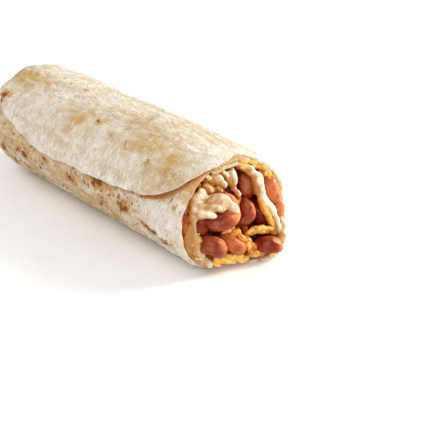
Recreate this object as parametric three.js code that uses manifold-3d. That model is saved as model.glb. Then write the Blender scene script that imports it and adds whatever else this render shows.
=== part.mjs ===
// Rolled flour-tortilla burrito with an open end, resting on its side.
// Millimetres, +Z up. The roll runs along X: tucked shut at the low end, open at the high end.
// Angles round the roll start at the top and grow towards the front (-Y): 90 front, 180 bottom, 270 back.

import * as THREE from 'three';
import { mergeVertices } from 'three/addons/utils/BufferGeometryUtils.js';
import Module from 'manifold-3d';

const wasm = await Module();
wasm.setup();

// ---------------------------------------------------------------- driving dimensions

const ROLL_LENGTH = 176;
const ROLL_WIDTH = 65;
const ROLL_HEIGHT = 57; // under the outer layer
const UNDERSIDE_SAG = 2; // how much of the round section is pressed flat by its own weight
const SHUT_END_SCALE = 0.955; // the shut end is rolled slightly tighter
const SHUT_END_ROUNDING = 16;
const SHUT_END_DIMPLE = 3.2; // depth of the middle of the shut end, where the sheet is gathered
const DIMPLE_EDGE = 0.62; // where the dimple ends, as a share of the shut end's radius
const MOUTH_DROOP = 4.7; // the top sinks this much at the mouth
const MOUTH_DROOP_LENGTH = 50;

const SHEET_THICKNESS = 1.8;
const WALL_THICKNESS = 2; // the sheet under the outer layer
const CONTACT_GAP = 0.3;
const WALL_GAP = 0.55; // between the wall and the filling
const SHUT_WALL = 5.8; // the gathered sheet is thicker where it closes the roll

const FLAP_GAP = 0.7; // air under the free edge of the outer layer
const FLAP_TUCK = 5; // how far that air reaches under the edge
const FLAP_LOWEST_ANGLE = 82.5;
const FLAP_LOWEST_AT = 66; // distance from the shut end where the edge hangs lowest
const FLAP_BOW_TO_SHUT_END = 0.011; // degrees of rise for each square millimetre from there
const FLAP_BOW_TO_MOUTH = 0.0013;
const FLAP_CORNER_AT = 128; // from here the edge curves up to the mouth
const FLAP_CORNER_START = 3.2; // exponents of that curve: how late it starts
const FLAP_CORNER_END = 0.34; // and how steeply it ends
const FLAP_CORNER_BEYOND = 0.5; // how far past the mouth the curve would reach the top
const FLAP_MERGE_ANGLE = -110; // the outer layer is level with the roll from here down the back
const FLAP_FULL_ANGLE = 30; // and stands off fully from here to its edge

const RIM_LEAN = 0.08; // the mouth leans back towards its top
const RIM_SKEW = 0.03;
const RIM_BLEND_LENGTH = 56;
const RIM_THINNING = 0.42; // share of its thickness that the sheet loses towards the rim
const RIM_THINNING_LENGTH = 30;
const LIP_REACH = 10; // the lower lip of the mouth is pushed out by the filling
const LIP_ANGLE = 218;
const LIP_HALF_ANGLE = 56;
const RIM_NOTCH = 4; // the rim draws back where the wall meets the table in front
const RIM_NOTCH_ANGLE = 150;
const RIM_NOTCH_HALF_ANGLE = 42;

const FILLING_RECESS = 2.5; // edge of the filling behind the rim
const FILLING_CENTRE = { x: 175.5, y: -1, z: 27 };

// Swells of the wall along the roll: their height and the length over which they turn.
const LONG_SWELL = { height: 0.5, length: 23 };
const SHORT_SWELL = { height: 0.3, length: 11 };
const SWELLS_END_ANGLE = 120; // from the top: below this the wall is pressed smooth
const SWELLS_FADE_ANGLE = 50;

// Fineness of the meshes.
const RING_POINTS = 38;
const SHUT_END_SHARES = [0.3, DIMPLE_EDGE, 0.88]; // of its radius, at which its face has a ring
const SHUT_END_TURNS = [78, 56, 38, 20]; // degrees round the shut end's corner
const BODY_STEP = 12;
const CORNER_STEP = 7;
const RIM_STEP = 3.5;
const RIM_RINGS_FROM = 161;
const CAVITY_STEP = 22;
const MOUTH_SPACE_STEP = 8;
const MOUTH_SPACE_BEYOND = 24; // how far past the rim the space for the contents is carried on

const TORTILLA_COLOUR = '#dcc8aa';
const FILLING_COLOUR = '#c8803c';
const BEAN_COLOUR = '#9e4a2c';
const SAUCE_COLOUR = '#e6d6b4';
const CHEDDAR_COLOUR = '#dea440';

// ---------------------------------------------------------------- small helpers

const RAD = Math.PI / 180;

function clamp01(t) {
  return Math.min(1, Math.max(0, t));
}

function smooth(t) {
  const s = clamp01(t);
  return s * s * (3 - 2 * s);
}

function lerp(a, b, t) {
  return a + (b - a) * t;
}

// Difference between two angles in degrees, between -180 and 180.
function angleBetween(a, b) {
  return ((((a - b + 180) % 360) + 360) % 360) - 180;
}

// ---------------------------------------------------------------- the rolled form

// How far the mouth's edge reaches along X, at an angle round the roll.
function rimReach(angle) {
  const y = -(ROLL_WIDTH / 2) * Math.sin(angle * RAD);
  const height = (ROLL_HEIGHT / 2) * Math.cos(angle * RAD);
  const near = (middle, halfAngle) => 1 - smooth(Math.abs(angleBetween(angle, middle)) / halfAngle);
  const lip = LIP_REACH * near(LIP_ANGLE, LIP_HALF_ANGLE);
  const notch = RIM_NOTCH * near(RIM_NOTCH_ANGLE, RIM_NOTCH_HALF_ANGLE);
  return ROLL_LENGTH + RIM_SKEW * y - RIM_LEAN * height + lip - notch;
}

// Shallow dents and swellings of the wall, outward positive, none on the underside.
function unevenness(x, angle) {
  const a = angle * RAD;
  const long = LONG_SWELL.height * Math.sin(x / LONG_SWELL.length + 1.1) * Math.cos(a - 0.6);
  const short = SHORT_SWELL.height * Math.sin(x / SHORT_SWELL.length + 2 * a) * Math.cos(2 * a + 0.8);
  const fromTop = Math.abs(angleBetween(angle, 0));
  const aboveTable = smooth((SWELLS_END_ANGLE - fromTop) / SWELLS_FADE_ANGLE);
  return (long + short) * aboveTable;
}

// Point on the roll at a distance from the shut end, moved outward by an offset.
function rollPoint(x, angle, offset) {
  const a = angle * RAD;
  const halfHeight = (ROLL_HEIGHT + UNDERSIDE_SAG) / 2;
  const middle = ROLL_HEIGHT - halfHeight;
  const out = offset + unevenness(x, angle);

  const along = clamp01(x / ROLL_LENGTH);
  const intoEnd = clamp01((SHUT_END_ROUNDING - x) / SHUT_END_ROUNDING);
  const inset = SHUT_END_ROUNDING * (1 - Math.sqrt(1 - intoEnd ** 2));
  const scale = lerp(SHUT_END_SCALE, 1, along) * (1 - inset / (ROLL_HEIGHT / 2));

  const sink = clamp01((x - ROLL_LENGTH + MOUTH_DROOP_LENGTH) / MOUTH_DROOP_LENGTH);
  const droop = 1 - (MOUTH_DROOP / ROLL_HEIGHT) * sink ** 2;

  const y = -(ROLL_WIDTH / 2 + out) * Math.sin(a) * scale;
  const upright = (middle + (halfHeight + out) * Math.cos(a)) * scale * droop;
  const z = upright + (ROLL_HEIGHT / 2) * (1 - scale);
  const floor = Math.max(0, -offset);
  return new THREE.Vector3(x, y, Math.max(z, floor));
}

// Rings near the mouth lean over until the last one follows the rim.
function leanToRim(x, angle) {
  const share = smooth((x - ROLL_LENGTH + RIM_BLEND_LENGTH) / RIM_BLEND_LENGTH);
  return x + (rimReach(angle) - ROLL_LENGTH) * share;
}

// Angle at which the outer layer's free edge lies, at a distance from the shut end.
function flapEdge(x) {
  const toShutEnd = FLAP_BOW_TO_SHUT_END * Math.max(0, FLAP_LOWEST_AT - x) ** 2;
  const toMouth = FLAP_BOW_TO_MOUTH * Math.max(0, x - FLAP_LOWEST_AT) ** 2;
  const cornerLength = ROLL_LENGTH + FLAP_CORNER_BEYOND - FLAP_CORNER_AT;
  const intoCorner = clamp01((x - FLAP_CORNER_AT) / cornerLength);
  const corner = (1 - intoCorner ** FLAP_CORNER_START) ** FLAP_CORNER_END;
  return (FLAP_LOWEST_ANGLE - toShutEnd - toMouth) * corner;
}

// Share of the full thickness that the sheet has, at a distance from the shut end.
function thickness(x) {
  return 1 - RIM_THINNING * smooth((x - ROLL_LENGTH + RIM_THINNING_LENGTH) / RIM_THINNING_LENGTH);
}

// How far the outer layer stands off the roll: most at its free edge, nothing down the back.
function layerLift(x, angle) {
  const full = (SHEET_THICKNESS + FLAP_GAP) * thickness(x);
  return full * smooth((angle - FLAP_MERGE_ANGLE) / (FLAP_FULL_ANGLE - FLAP_MERGE_ANGLE));
}

// ---------------------------------------------------------------- meshes from rings

// Joins rings of equal length, with a point closing each end, into one closed body.
function closedRings(rings, firstPoint, lastPoint) {
  const count = rings[0].length;
  const points = [firstPoint, ...rings.flat(), lastPoint];
  const last = points.length - 1;
  const index = [];
  for (let i = 0; i < count; i += 1) {
    const j = (i + 1) % count;
    index.push(0, 1 + i, 1 + j);
    for (let r = 0; r < rings.length - 1; r += 1) {
      const a = 1 + r * count;
      const b = a + count;
      index.push(a + i, b + j, a + j, a + i, b + i, b + j);
    }
    const end = 1 + (rings.length - 1) * count;
    index.push(last, end + j, end + i);
  }
  const geometry = new THREE.BufferGeometry();
  geometry.setAttribute('position', new THREE.Float32BufferAttribute(points.flatMap((p) => p.toArray()), 3));
  geometry.setIndex(index);
  return geometry;
}

function toSolid(geometry) {
  const bare = geometry.clone();
  bare.deleteAttribute('normal');
  bare.deleteAttribute('uv');
  const merged = mergeVertices(bare, 1e-4);
  return new wasm.Manifold(
    new wasm.Mesh({
      numProp: 3,
      vertProperties: new Float32Array(merged.attributes.position.array),
      triVerts: new Uint32Array(merged.index.array),
    }),
  );
}

function toGeometry(solid) {
  const mesh = solid.getMesh();
  const geometry = new THREE.BufferGeometry();
  geometry.setAttribute('position', new THREE.BufferAttribute(new Float32Array(mesh.vertProperties), 3));
  geometry.setIndex(new THREE.BufferAttribute(new Uint32Array(mesh.triVerts), 1));
  return geometry;
}

// Keeps the largest connected body of a geometry: cuts may leave crumbs behind a bean.
function largestBody(geometry) {
  const index = geometry.index.array;
  const parent = Array.from({ length: geometry.attributes.position.count }, (_, i) => i);
  const find = (i) => {
    let root = i;
    while (parent[root] !== root) root = parent[root];
    parent[i] = root;
    return root;
  };
  for (let t = 0; t < index.length; t += 3) {
    parent[find(index[t])] = find(index[t + 1]);
    parent[find(index[t + 1])] = find(index[t + 2]);
  }
  const sizes = new Map();
  for (let t = 0; t < index.length; t += 3) {
    const root = find(index[t]);
    sizes.set(root, (sizes.get(root) ?? 0) + 1);
  }
  const biggest = [...sizes].sort((a, b) => b[1] - a[1])[0][0];
  const kept = [];
  for (let t = 0; t < index.length; t += 3) {
    if (find(index[t]) === biggest) kept.push(index[t], index[t + 1], index[t + 2]);
  }
  const body = new THREE.BufferGeometry();
  body.setAttribute('position', geometry.attributes.position);
  body.setIndex(kept);
  return body;
}

// ---------------------------------------------------------------- tortilla

// Distances from the shut end at which the outer surface has a ring.
function outerStations() {
  const stations = SHUT_END_TURNS.map((turn) => SHUT_END_ROUNDING * (1 - Math.sin(turn * RAD)));
  for (let x = SHUT_END_ROUNDING; x < FLAP_CORNER_AT; x += BODY_STEP) stations.push(x);
  for (let x = FLAP_CORNER_AT; x < RIM_RINGS_FROM - RIM_STEP; x += CORNER_STEP) stations.push(x);
  for (let x = RIM_RINGS_FROM; x < ROLL_LENGTH; x += RIM_STEP) stations.push(x);
  return [...stations, ROLL_LENGTH];
}

// One turn of the outer surface: from the free edge over the top, round the back and up the
// front again to the root of the gap, under that edge. The last point is the edge's underside.
function outerRing(x) {
  const edge = flapEdge(x);
  const turn = 360 + FLAP_TUCK / (ROLL_WIDTH / 2) / RAD;
  const steps = RING_POINTS - 2;
  const ring = [];
  for (let i = 0; i <= steps; i += 1) {
    const angle = edge - (turn * i) / steps;
    ring.push(rollPoint(leanToRim(x, angle), angle, layerLift(x, angle)));
  }
  ring.push(rollPoint(leanToRim(x, edge), edge, FLAP_GAP * thickness(x)));
  return ring;
}

// The tucked end is blunt, with a shallow dimple where the sheet is gathered.
function shutEndRings() {
  const first = outerRing(outerStations()[0]);
  const centre = new THREE.Vector3(SHUT_END_DIMPLE, 0, ROLL_HEIGHT / 2);
  const rings = SHUT_END_SHARES.map((share) =>
    first.map((p) => {
      const point = centre.clone().lerp(p, share);
      point.x = lerp(centre.x, 0, smooth(share / DIMPLE_EDGE));
      return point;
    }),
  );
  return { centre, rings };
}

// Angles of a ring inside the wall, in the same order as the outer ring's.
function cavityAngles() {
  const start = flapEdge(ROLL_LENGTH);
  return Array.from({ length: RING_POINTS }, (_, i) => start - (360 * i) / RING_POINTS);
}

// Distances from the shut end at which the cavity and the filling have a ring.
function cavityStations() {
  const stations = [SHUT_END_ROUNDING - 1];
  for (let x = ROLL_LENGTH; x > SHUT_END_ROUNDING; x -= CAVITY_STEP) stations.splice(1, 0, x);
  return stations;
}

function cavityRing(x) {
  const inward = WALL_THICKNESS * thickness(x);
  return cavityAngles().map((angle) => rollPoint(leanToRim(x, angle), angle, -inward));
}

function tortillaGeometry() {
  const shut = shutEndRings();
  const outer = outerStations().map(outerRing);
  const inner = [SHUT_WALL, ...cavityStations()].reverse().map(cavityRing);
  const cavityEnd = new THREE.Vector3(SHUT_WALL, 0, ROLL_HEIGHT / 2);
  return closedRings([...shut.rings, ...outer, ...inner], shut.centre, cavityEnd);
}

// ---------------------------------------------------------------- beans

// Each bean: centre, direction of its length, direction of its rounded back, length, width, depth.
const BEANS = [
  { at: [170.5, 11.6, 36.2], along: [0.1, 0.1, -1], back: [0.8, -0.5, 0], size: [16.5, 8.8, 8.2] },
  { at: [173.5, 25.8, 29.6], along: [0.18, 0.16, -1], back: [0.6, -0.8, 0], size: [18.5, 9.2, 8.4] },
  { at: [177.5, 28.8, 20.4], along: [0.15, -0.04, -1], back: [0.3, 1, 0], size: [13.0, 7.2, 6.8] },
  { at: [174.5, 7.8, 23.6], along: [0.05, -0.42, -0.9], back: [0.6, 0.7, -0.3], size: [15.0, 9.4, 8.6] },
  { at: [177.8, -10.4, 27.2], along: [0.62, 0.76, 0.1], back: [0.6, -0.5, -0.6], size: [19.5, 9.6, 9.0] },
  { at: [174.0, -5.6, 34.6], along: [0.5, 0.72, -0.48], back: [0.7, -0.4, 0.6], size: [16.5, 9.4, 9.0] },
  { at: [176.8, -16.3, 15.1], along: [0.66, 0.66, -0.3], back: [0.2, -0.6, 0.7], size: [17.5, 11.8, 10.6] },
  { at: [179.5, -4.1, 12.8], along: [0.56, 0.6, -0.58], back: [0.6, -0.6, 0.4], size: [15.0, 8.6, 8.2] },
  { at: [185.2, 13.6, 8.3], along: [0.6, 0.8, -0.08], back: [0.5, -0.4, 0.8], size: [15.0, 9.4, 9.0] },
  { at: [172.2, 19.6, 18.0], along: [0.25, 0.28, -0.95], back: [0.9, -0.3, 0], size: [17.0, 9.8, 8.8] },
  { at: [169.4, -25.8, 27.0], along: [0.3, 0.1, -0.95], back: [0.8, -0.6, 0], size: [13.5, 7.8, 7.4] },
  { at: [171.8, -20.2, 25.6], along: [0.6, 0.5, -0.6], back: [0.6, -0.6, 0.4], size: [13.0, 8.4, 8.0] },
];

const BEAN_SIDES = 12;
const BEAN_RINGS = 6;
const BEAN_BOW = 0.16; // as a share of its length
const BEAN_WAIST = 0.07; // slimmer middle, as a share of its width

// Kidney form: an ellipsoid bowed towards its back, slightly slimmer at the middle.
function beanGeometry(bean, growth) {
  const along = new THREE.Vector3(...bean.along).normalize();
  const side = new THREE.Vector3(...bean.back).cross(along).normalize();
  const back = along.clone().cross(side);
  const centre = new THREE.Vector3(...bean.at);
  const [halfLength, halfWidth, halfDepth] = bean.size.map((s) => s / 2 + growth);
  const place = (t, turn) => {
    const girth = Math.sqrt(Math.max(0, 1 - t * t)) * (1 - BEAN_WAIST * Math.cos(t * Math.PI * 0.5) ** 4);
    const bow = BEAN_BOW * bean.size[0] * (0.3 - t * t);
    return centre
      .clone()
      .addScaledVector(along, t * halfLength)
      .addScaledVector(back, Math.cos(turn) * girth * halfWidth + bow)
      .addScaledVector(side, Math.sin(turn) * girth * halfDepth);
  };
  const rings = [];
  for (let r = 1; r <= BEAN_RINGS; r += 1) {
    const t = -Math.cos((Math.PI * r) / (BEAN_RINGS + 1));
    const ring = [];
    for (let i = 0; i < BEAN_SIDES; i += 1) ring.push(place(t, (2 * Math.PI * i) / BEAN_SIDES));
    rings.push(ring);
  }
  return closedRings(rings, place(-1, 0), place(1, 0));
}

// ---------------------------------------------------------------- filling

// Hollows in the filling's open face: where they lie on it, how deep and how wide they are.
const HOLLOWS = [
  { y: 20, z: 18, depth: 6, radius: 9 },
  { y: -12, z: 21, depth: 4, radius: 5 },
  { y: 8, z: 42, depth: 2.5, radius: 12 },
];

// How many steps the open face has from its edge to its centre.
const FACE_STEPS = 6;
const FACE_CROWDING = 0.85; // exponent that draws those steps closer at the edge
const FACE_BULGE = 1.6; // exponent of the face's profile from its centre to its edge
const FACE_LUMPS = { height: 0.9, wide: 3.1, high: 2.7 };
const FACE_GRAIN = { height: 0.5, wide: 1.9, high: 2.3 };

// Lumps of the open face, forward positive, less the depth of its hollows.
function faceRelief(y, z) {
  const lumps = FACE_LUMPS.height * Math.sin(y / FACE_LUMPS.wide + 0.4) * Math.cos(z / FACE_LUMPS.high);
  const grain = FACE_GRAIN.height * Math.sin(y / FACE_GRAIN.wide - z / FACE_GRAIN.high);
  const depth = (h) => h.depth * Math.exp(-((y - h.y) ** 2 + (z - h.z) ** 2) / h.radius ** 2);
  return lumps + grain - HOLLOWS.reduce((sum, h) => sum + depth(h), 0);
}

// One solid down the roll, with an open face that spills onto the lower lip.
function fillingGeometry(growth) {
  const shutAt = SHUT_WALL + WALL_GAP;
  const side = [shutAt, ...cavityStations()].map((x) =>
    cavityAngles().map((angle) => {
      const offset = growth - WALL_GAP - WALL_THICKNESS * thickness(x);
      const point = rollPoint(leanToRim(x, angle), angle, offset);
      point.x -= (FILLING_RECESS - growth) * smooth(x / ROLL_LENGTH);
      return point;
    }),
  );
  const mouth = side[side.length - 1];
  const centre = new THREE.Vector3(FILLING_CENTRE.x + growth, FILLING_CENTRE.y, FILLING_CENTRE.z);
  const face = [];
  for (let step = 1; step < FACE_STEPS; step += 1) {
    const share = (1 - step / FACE_STEPS) ** FACE_CROWDING;
    const inFace = smooth((1 - share) * 4);
    face.push(
      mouth.map((p) => {
        const point = centre.clone().lerp(p, share);
        point.x = lerp(centre.x, p.x, share ** FACE_BULGE) + faceRelief(point.y, point.z) * inFace;
        return point;
      }),
    );
  }
  const shutCentre = new THREE.Vector3(shutAt, 0, ROLL_HEIGHT / 2);
  centre.x += faceRelief(centre.y, centre.z);
  return closedRings([...side, ...face], shutCentre, centre);
}

// ---------------------------------------------------------------- cheese sauce

const SAUCE_SIDES = 8;
const SAUCE_STEP = 3.2;
const SAUCE_FACING = [0.85, -0.4, 0.35]; // the flat side of every run faces out of the mouth

// A run of thick sauce: a flattened rope along a curve, its width varying from end to end.
function ropeGeometry(rope) {
  const curve = new THREE.CatmullRomCurve3(rope.path.map((p) => new THREE.Vector3(...p)));
  const steps = Math.max(3, Math.round(curve.getLength() / SAUCE_STEP));
  const facing = new THREE.Vector3(...SAUCE_FACING).normalize();
  const rings = [];
  for (let r = 0; r <= steps; r += 1) {
    const t = r / steps;
    const at = curve.getPointAt(t);
    const tangent = curve.getTangentAt(t);
    const across = tangent.clone().cross(facing).normalize();
    const out = across.clone().cross(tangent);
    const place = t * (rope.widths.length - 1);
    const low = Math.min(rope.widths.length - 2, Math.floor(place));
    const width = lerp(rope.widths[low], rope.widths[low + 1], place - low);
    const ring = [];
    for (let i = 0; i < SAUCE_SIDES; i += 1) {
      const turn = (2 * Math.PI * i) / SAUCE_SIDES;
      ring.push(
        at
          .clone()
          .addScaledVector(across, (Math.cos(turn) * width) / 2)
          .addScaledVector(out, (Math.sin(turn) * rope.thickness) / 2),
      );
    }
    rings.push(ring);
  }
  return closedRings(rings, curve.getPointAt(0), curve.getPointAt(1));
}

const SAUCES = [
  {
    name: 'cheese_sauce_right',
    colour: SAUCE_COLOUR,
    ropes: [
      {
        path: [
          [172, 7.2, 47.6],
          [173.8, 11, 45.8],
          [175.4, 13.4, 43],
          [176.6, 15.4, 39.2],
          [177.4, 16.3, 34.8],
          [178.5, 17.1, 30.1],
          [179.8, 19.2, 25.4],
          [181.2, 21.3, 20.6],
          [182.6, 22.3, 16],
          [184, 20.8, 11.5],
        ],
        widths: [3.6, 4, 4.2, 4.2, 4, 3.8, 4.2, 4.4, 4.4, 3.6],
        thickness: 4,
      },
    ],
  },
  {
    name: 'cheese_sauce_left',
    colour: SAUCE_COLOUR,
    ropes: [
      {
        path: [
          [172.6, -20.4, 39.9],
          [174.1, -17.4, 38.6],
          [177.1, -15.7, 38.3],
          [179.7, -12.5, 37.7],
          [181.9, -8.8, 35.8],
          [183.2, -6.2, 33.6],
          [183.8, -3.9, 30.7],
        ],
        widths: [4.6, 5.4, 7.4, 8, 6.4, 4.6, 2.8],
        thickness: 4.2,
      },
      {
        path: [
          [171.5, -19.4, 42.4],
          [173, -20.7, 39.8],
          [174.5, -22.9, 36.9],
          [175.8, -24.5, 33.4],
          [175.2, -25.6, 29],
          [174.5, -26.4, 25.2],
          [174.5, -26, 20.8],
          [174.2, -25.5, 16.3],
          [174.2, -23.9, 11.9],
          [175.4, -21.2, 8.9],
          [177.6, -18.4, 6.9],
        ],
        widths: [5, 6, 6.4, 6, 4.6, 4.8, 6.6, 6.4, 5.4, 6, 5],
        thickness: 4,
      },
      {
        path: [
          [176, -24.6, 35],
          [178.4, -21.1, 34.4],
          [180, -18.3, 33.5],
          [181, -16.7, 32.9],
        ],
        widths: [6, 5.2, 3.8, 2.6],
        thickness: 3.6,
      },
    ],
  },
  {
    name: 'cheese_sauce_top',
    colour: SAUCE_COLOUR,
    ropes: [
      {
        path: [
          [170.4, -12.4, 45.8],
          [172, -10.5, 46.6],
          [173.8, -8.4, 46.2],
          [175.2, -7, 44.4],
          [176, -4.8, 42.3],
        ],
        widths: [3, 4, 3.8, 3.2, 3.4],
        thickness: 3.4,
      },
      {
        path: [
          [171, 0.9, 48.4],
          [172.5, 1.8, 46.6],
          [174, 1.7, 44.2],
          [175.3, 0.3, 42.1],
          [175.8, -1.6, 41],
          [176.2, -4.6, 42.1],
        ],
        widths: [3, 3.8, 4.4, 4.6, 4, 3.4],
        thickness: 3.4,
      },
    ],
  },
  {
    name: 'melted_cheddar',
    colour: CHEDDAR_COLOUR,
    ropes: [
      {
        path: [
          [176.3, 12.9, 37.1],
          [177, 13.9, 33.3],
          [178, 15, 29.6],
          [179, 16.4, 25.2],
          [180.3, 17.9, 20.8],
          [181.4, 19.3, 16.4],
          [182.4, 19.4, 12.9],
        ],
        widths: [2, 2.6, 3.2, 3.6, 3.8, 3.8, 3.2],
        thickness: 3.4,
      },
    ],
  },
];

// ---------------------------------------------------------------- assembly

const burrito = new THREE.Group();

function addPiece(name, geometry, colour, roughness) {
  const material = new THREE.MeshStandardMaterial({ color: colour, roughness, metalness: 0 });
  const mesh = new THREE.Mesh(geometry, material);
  mesh.name = name;
  burrito.add(mesh);
}

// The space inside the wall, carried on past the rim, which nothing in the mouth may leave.
function mouthSpace() {
  const from = ROLL_LENGTH - RIM_BLEND_LENGTH;
  const to = ROLL_LENGTH + MOUTH_SPACE_BEYOND;
  const angles = Array.from({ length: RING_POINTS * 2 }, (_, i) => (-180 * i) / RING_POINTS);
  const offset = (x) => -WALL_GAP - WALL_THICKNESS * thickness(x);
  const ring = (x) => angles.map((angle) => rollPoint(x, angle, offset(x)));
  const middle = ROLL_HEIGHT / 2;
  const rings = [];
  for (let x = from; x <= to; x += MOUTH_SPACE_STEP) rings.push(ring(x));
  return closedRings(rings, new THREE.Vector3(from, 0, middle), new THREE.Vector3(to, 0, middle));
}

addPiece('tortilla', tortillaGeometry(), TORTILLA_COLOUR, 0.75);

const space = toSolid(mouthSpace());

let takenByBeans = null;
BEANS.forEach((bean, i) => {
  let solid = toSolid(beanGeometry(bean, 0)).intersect(space);
  if (takenByBeans) solid = solid.subtract(takenByBeans);
  const grown = toSolid(beanGeometry(bean, CONTACT_GAP));
  takenByBeans = takenByBeans ? takenByBeans.add(grown) : grown;
  addPiece(`bean_${i + 1}`, largestBody(toGeometry(solid)), BEAN_COLOUR, 0.35);
});

const filling = toSolid(fillingGeometry(0)).subtract(takenByBeans);
addPiece('filling', largestBody(toGeometry(filling)), FILLING_COLOUR, 0.55);

let taken = takenByBeans.add(toSolid(fillingGeometry(CONTACT_GAP)));
SAUCES.forEach((sauce) => {
  const ropes = sauce.ropes.map((rope) => toSolid(ropeGeometry(rope)));
  const poured = ropes.reduce((sum, rope) => sum.add(rope));
  const thicker = sauce.ropes.map((rope) => {
    const wider = rope.widths.map((width) => width + 2 * CONTACT_GAP);
    return toSolid(ropeGeometry({ ...rope, widths: wider, thickness: rope.thickness + 2 * CONTACT_GAP }));
  });
  const solid = poured.intersect(space).subtract(taken);
  taken = thicker.reduce((sum, rope) => sum.add(rope), taken);
  addPiece(sauce.name, largestBody(toGeometry(solid)), sauce.colour, 0.4);
});

const box = new THREE.Box3().setFromObject(burrito);
burrito.position.x = -(box.min.x + box.max.x) / 2;

export default burrito;
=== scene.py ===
import logging
import math
from dataclasses import dataclass
from enum import Enum

import bpy
import numpy as np
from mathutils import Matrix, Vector, noise


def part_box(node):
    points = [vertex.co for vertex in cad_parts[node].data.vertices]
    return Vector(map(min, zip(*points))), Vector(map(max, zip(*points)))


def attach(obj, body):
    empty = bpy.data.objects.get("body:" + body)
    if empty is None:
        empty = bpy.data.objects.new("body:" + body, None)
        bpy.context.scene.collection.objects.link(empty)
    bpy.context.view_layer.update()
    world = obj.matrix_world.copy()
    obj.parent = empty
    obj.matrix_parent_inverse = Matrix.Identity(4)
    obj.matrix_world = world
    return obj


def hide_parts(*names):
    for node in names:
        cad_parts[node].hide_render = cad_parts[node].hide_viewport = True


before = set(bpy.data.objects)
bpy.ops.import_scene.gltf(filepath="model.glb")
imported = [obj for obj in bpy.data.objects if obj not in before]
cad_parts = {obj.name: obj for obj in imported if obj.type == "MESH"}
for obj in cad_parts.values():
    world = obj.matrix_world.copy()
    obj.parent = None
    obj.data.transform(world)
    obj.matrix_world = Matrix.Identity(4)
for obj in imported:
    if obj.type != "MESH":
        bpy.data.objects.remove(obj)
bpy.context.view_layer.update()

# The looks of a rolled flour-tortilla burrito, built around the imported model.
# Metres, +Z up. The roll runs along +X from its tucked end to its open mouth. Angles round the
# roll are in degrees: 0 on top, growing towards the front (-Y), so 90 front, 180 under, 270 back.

MM = 0.001
PICTURE_SIDE = 424
MID_RADIUS = 31 * MM  # of the roll
log = logging.getLogger("burrito")

Array = np.ndarray
Point = tuple[float, float, float]
Colour = tuple[float, float, float, float]
Waves = tuple[tuple[float, float, float], ...]
Faces = list[tuple[int, ...]]
Material = bpy.types.Material
Object = bpy.types.Object
Socket = bpy.types.NodeSocket
Tree = bpy.types.NodeTree


# ------------------------------------------------------------------ small helpers


def smooth(t: Array | float, over: Array | float = 1.0) -> Array:
    """Eases from 0 to 1 as t goes from 0 to a distance, and stays there outside."""
    s = np.clip(t / over, 0.0, 1.0)
    return s * s * (3 - 2 * s)


def bell(t: Array | float, width: float = 1.0) -> Array:
    """Rises to 1 where t is 0, and falls to almost nothing two widths away."""
    return np.exp(-((t / width) ** 2))


def wavy(t: Array, waves: Waves) -> Array:
    """Sum of sine waves along t, each with its height, its length over a radian and its start."""
    return sum(height * np.sin(t / length + start) for height, length, start in waves)


def lerp(a: Array | float, b: Array | float, t: Array | float) -> Array:
    """Goes in a straight line from a to b as t goes from 0 to 1."""
    return a + (b - a) * t


def angle_between(a: Array | float, b: Array | float) -> Array:
    """Difference between two angles in degrees, from -180 to 180."""
    return (a - b + 180) % 360 - 180


def from_top(angle: Array) -> Array:
    """Angle away from the top, to either side."""
    return abs(angle_between(angle, 0))


def arc(angle: Array) -> Array:
    """Length round the roll that an angle spans."""
    return np.radians(angle) * MID_RADIUS


def unit(v: Array) -> Array:
    """Scales vectors to length one."""
    return v / np.maximum(np.linalg.norm(v, axis=-1, keepdims=True), 1e-12)


def rgb(red: int, green: int, blue: int) -> Colour:
    """Turns a colour given in 0 to 255 as seen on a screen into the linear colour of shaders."""
    parts = [c / 255 for c in (red, green, blue)]
    return (*(c / 12.92 if c <= 0.04045 else ((c + 0.055) / 1.055) ** 2.4 for c in parts), 1.0)


def lumps(points: Array, size: float, octaves: int = 1, seed: float = 0.0) -> Array:
    """Soft random lumps of a given size.

    Args:
        points: Places, in metres, in the last axis.
        size: Distance over which the lumps turn.
        octaves: How many finer layers are added.
        seed: Moves the pattern, so that two layers differ.

    Returns:
        A value of about -1 to 1 for each place.
    """
    flat = points.reshape(-1, 3) / size + seed
    values = [noise.fractal(Vector(p), 1.0, 2.0, octaves) for p in flat]
    return np.array(values).reshape(points.shape[:-1])


# ------------------------------------------------------------------ meshes


class Draft:
    """Vertices, faces and per-vertex values of one mesh while it is being made."""

    def __init__(self) -> None:
        """Starts with nothing in it."""
        self.points: list[Array] = []
        self.faces: Faces = []
        self.values: dict[str, list[Array]] = {}
        self.count = 0

    def add(self, points: Array, faces: Faces, **values: Array | float) -> "Draft":
        """Adds one body.

        Args:
            points: Its vertices.
            faces: Its faces, counted from its own first vertex.
            **values: Values that its vertices carry, by name, one each or one for all.

        Returns:
            The draft itself.
        """
        self.points.append(points)
        self.faces.extend(tuple(i + self.count for i in face) for face in faces)
        for name, value in values.items():
            self.values.setdefault(name, []).append(np.broadcast_to(value, len(points)))
        self.count += len(points)
        return self

    def build(self, name: str, material: Material) -> Object:
        """Makes the mesh object, smooth shaded, at the origin of the frame.

        Args:
            name: The object's name.
            material: Its finish.

        Returns:
            The new object.
        """
        mesh = bpy.data.meshes.new(name)
        mesh.from_pydata(np.concatenate(self.points).tolist(), [], self.faces)
        for key, parts in self.values.items():
            layer = mesh.attributes.new(key, "FLOAT", "POINT")
            layer.data.foreach_set("value", np.concatenate(parts).astype(np.float32))
        mesh.polygons.foreach_set("use_smooth", [True] * len(mesh.polygons))
        mesh.materials.append(material)
        mesh.validate()
        made = bpy.data.objects.new(name, mesh)
        bpy.context.scene.collection.objects.link(made)
        return made


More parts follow.
